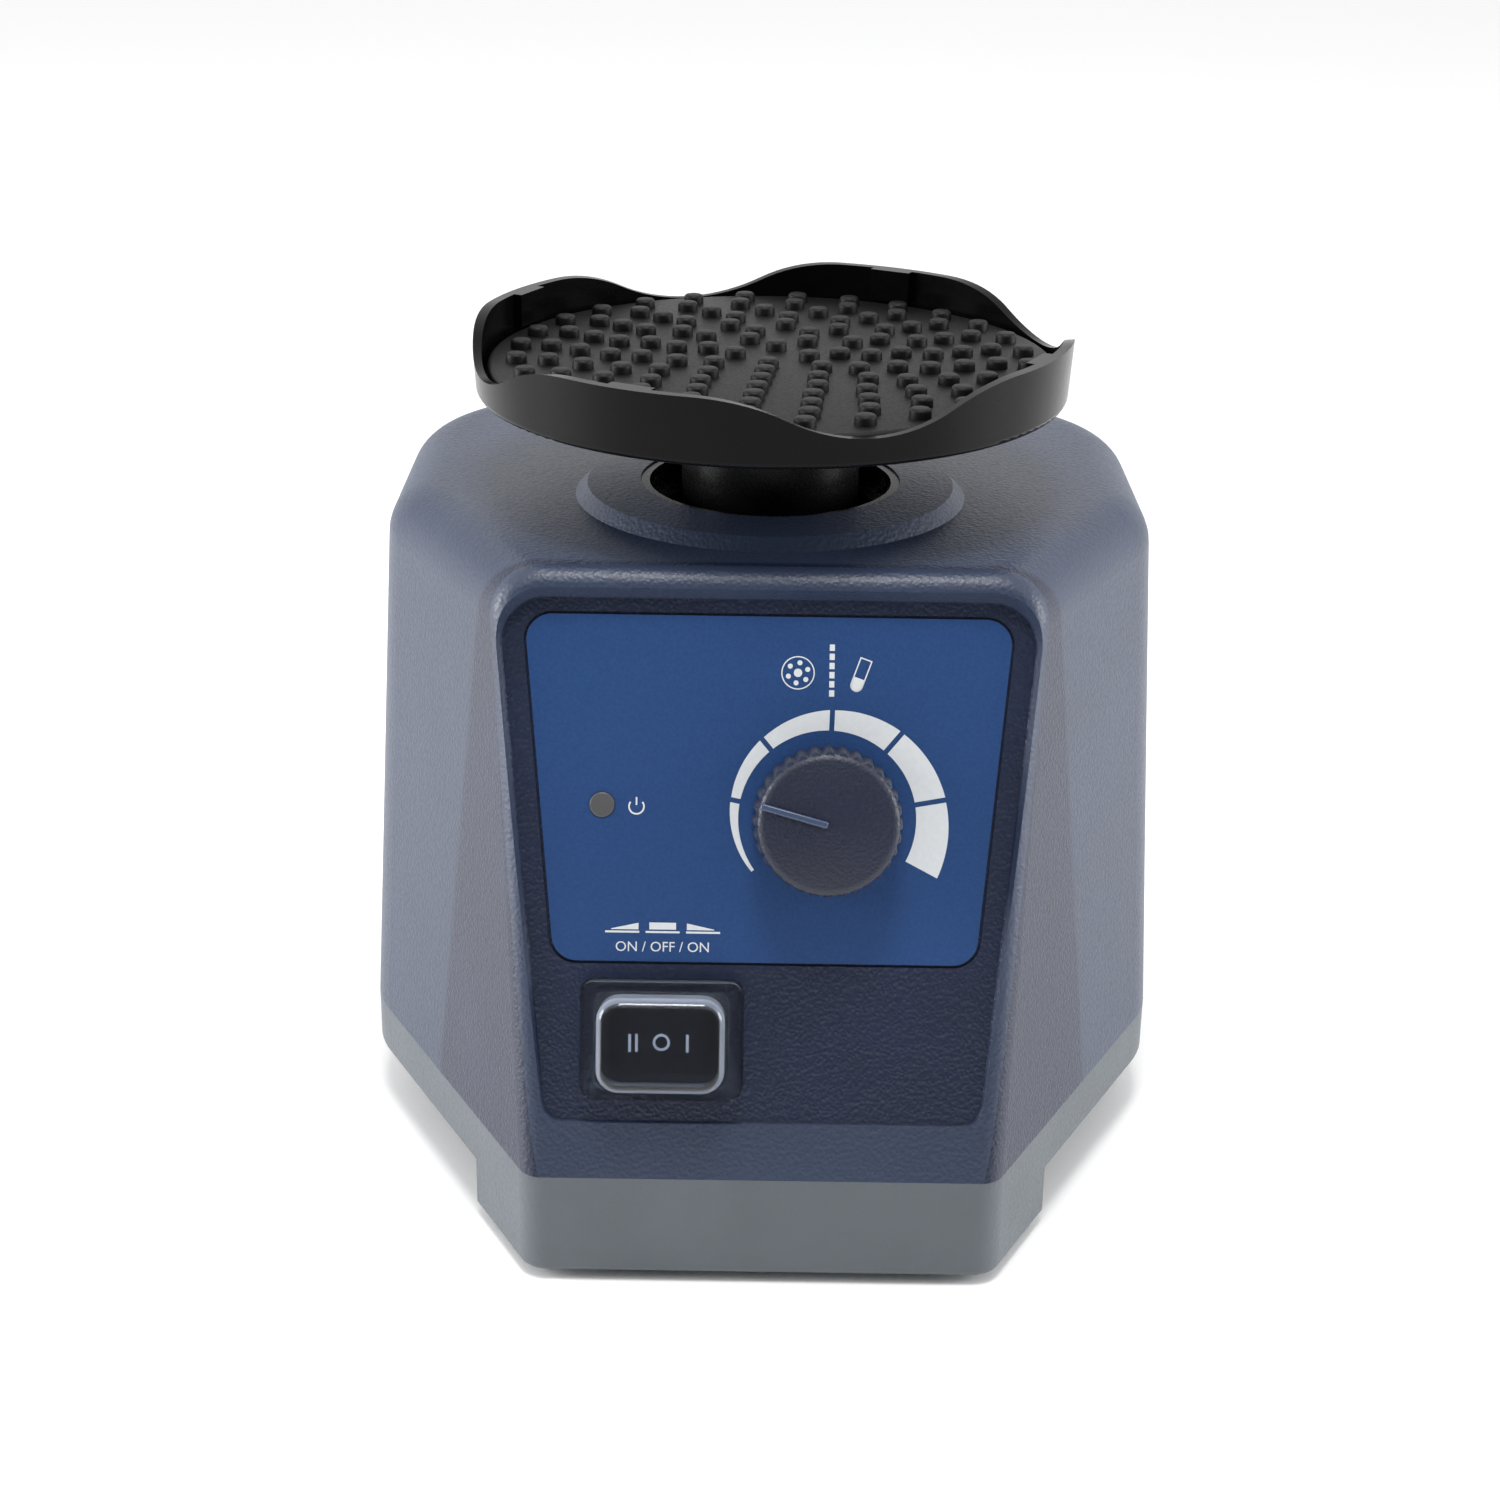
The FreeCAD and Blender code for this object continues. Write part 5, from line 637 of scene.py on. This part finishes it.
def nubbed_mat():
    """The rubber mat: a disc with a softened rim and domed nubs in rings."""
    low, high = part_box("nub_mat")
    centre = Vector(((low[0] + high[0]) / 2, joints["head_orbit"]["pos_m"][1], low[2]))
    radius, thick = 47.4, 3.0
    nub_radius, nub_tall, nub_rise, nub_top = 1.85, 2.4, 1.6, 0.92
    rings, first_ring, ring_step, nub_pitch, first_angle = 8, 4.8, 5.2, 9.6, -96.3
    deselect()
    bpy.ops.mesh.primitive_cylinder_add(vertices=128, radius=radius * MM, depth=thick * MM,
                                        location=(0, 0, thick / 2 * MM))
    bpy.ops.object.transform_apply(location=True)
    disc = bpy.context.object
    select_faces(disc, lambda spot, normal: normal.z > 0.9)
    bpy.ops.mesh.bevel(offset=0.8 * MM, segments=3, affect="EDGES")
    bpy.ops.object.mode_set(mode="OBJECT")
    deselect()
    bpy.ops.mesh.primitive_cylinder_add(vertices=20, radius=nub_radius * MM, depth=nub_tall * MM,
                                        location=(0, 0, (thick + nub_rise - nub_tall / 2) * MM))
    bpy.ops.object.transform_apply(location=True)
    nub = bpy.context.object
    select_faces(nub, lambda spot, normal: normal.z > 0.9)
    bpy.ops.transform.resize(value=(nub_top, nub_top, 1), center_override=(0, 0, (thick + nub_rise) * MM))
    bpy.ops.mesh.bevel(offset=0.55 * MM, segments=3, affect="EDGES")
    bpy.ops.object.mode_set(mode="OBJECT")
    pieces = [disc]
    for row in range(rings):
        reach = radius - first_ring - ring_step * row
        count = round(2 * math.pi * reach / nub_pitch)
        for k in range(count):
            angle = math.radians(360 * k / count + first_angle)
            copy = nub.copy()
            copy.data = nub.data.copy()
            copy.location = (reach * math.cos(angle) * MM, reach * math.sin(angle) * MM, 0)
            bpy.context.collection.objects.link(copy)
            pieces.append(copy)
    bpy.data.objects.remove(nub)
    mat = settle(join("rubber_mat", pieces), Matrix.Translation(centre))
    activate(mat)
    bpy.ops.object.shade_smooth_by_angle(angle=math.radians(40))
    paint(mat, MAT_RUBBER)
    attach(mat, "head")
    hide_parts("nub_mat")


def tent():
    """White light tent as the world: even all round, with a dark mouth where the camera looks in."""
    world = scene.world or bpy.data.worlds.new("studio_tent")
    scene.world = world
    world.use_nodes = True
    tree = world.node_tree
    tree.nodes.clear()
    way = add_node(tree, "ShaderNodeTexCoord")
    parts = add_node(tree, "ShaderNodeSeparateXYZ", {0: (way, "Generated")})
    glow = add_node(tree, "ShaderNodeMapRange", {"Value": (parts, "Y"), "From Min": -0.85, "From Max": -0.25,
                                                 "To Min": 0.05, "To Max": 1.08},
                    interpolation_type="SMOOTHSTEP")
    air = add_node(tree, "ShaderNodeBackground", {"Color": (1, 1, 1, 1), "Strength": (glow, 0)})
    add_node(tree, "ShaderNodeOutputWorld", {"Surface": (air, 0)})


def studio():
    """Pale floor, a light tent, soft lights at both sides and a smaller one overhead."""
    deselect()
    bpy.ops.mesh.primitive_plane_add(size=6, location=(0, 0, -0.0002))
    floor = bpy.context.object
    floor.name = "studio_floor"
    paint(floor, print_ink("studio_white_paper", ("#FAFAFA", "#FDFDFD")))
    tent()
    lamps = [("left_softbox", (-1.0, -0.08, 0.32), 0.5, 9.0),
             ("right_softbox", (1.0, -0.08, 0.32), 0.5, 6.5),
             ("top_softbox", (0.0, -0.25, 1.0), 0.25, 5.0)]
    target = Vector((0, 0, 0.07))
    for name, spot, size, power in lamps:
        deselect()
        bpy.ops.object.light_add(type="AREA", location=spot)
        lamp = bpy.context.object
        lamp.name = name
        lamp.data.shape = "SQUARE"
        lamp.data.size = size
        lamp.data.energy = power
        aim = target - Vector(spot)
        lamp.rotation_euler = aim.to_track_quat("-Z", "Y").to_euler()


def camera():
    """The photograph's view: a long lens, a little above and straight ahead."""
    pitch, roll = 22.5, 0.85
    deselect()
    bpy.ops.object.camera_add(location=(-0.00275, -0.42882, 0.2407))
    eye = bpy.context.object
    eye.name = "photo_camera"
    eye.data.sensor_width = 36.0
    eye.data.lens = 63.12
    eye.data.clip_start = 0.01
    tilt = Matrix.Rotation(math.radians(90 - pitch), 4, "X") @ Matrix.Rotation(math.radians(roll), 4, "Z")
    eye.matrix_world = Matrix.Translation(eye.location) @ tilt
    scene.camera = eye


deselect()
finish_cad_nodes()
label_print()
rocker_marks()
speed_knob()
isolator_columns()
nubbed_mat()
studio()
camera()
deselect()
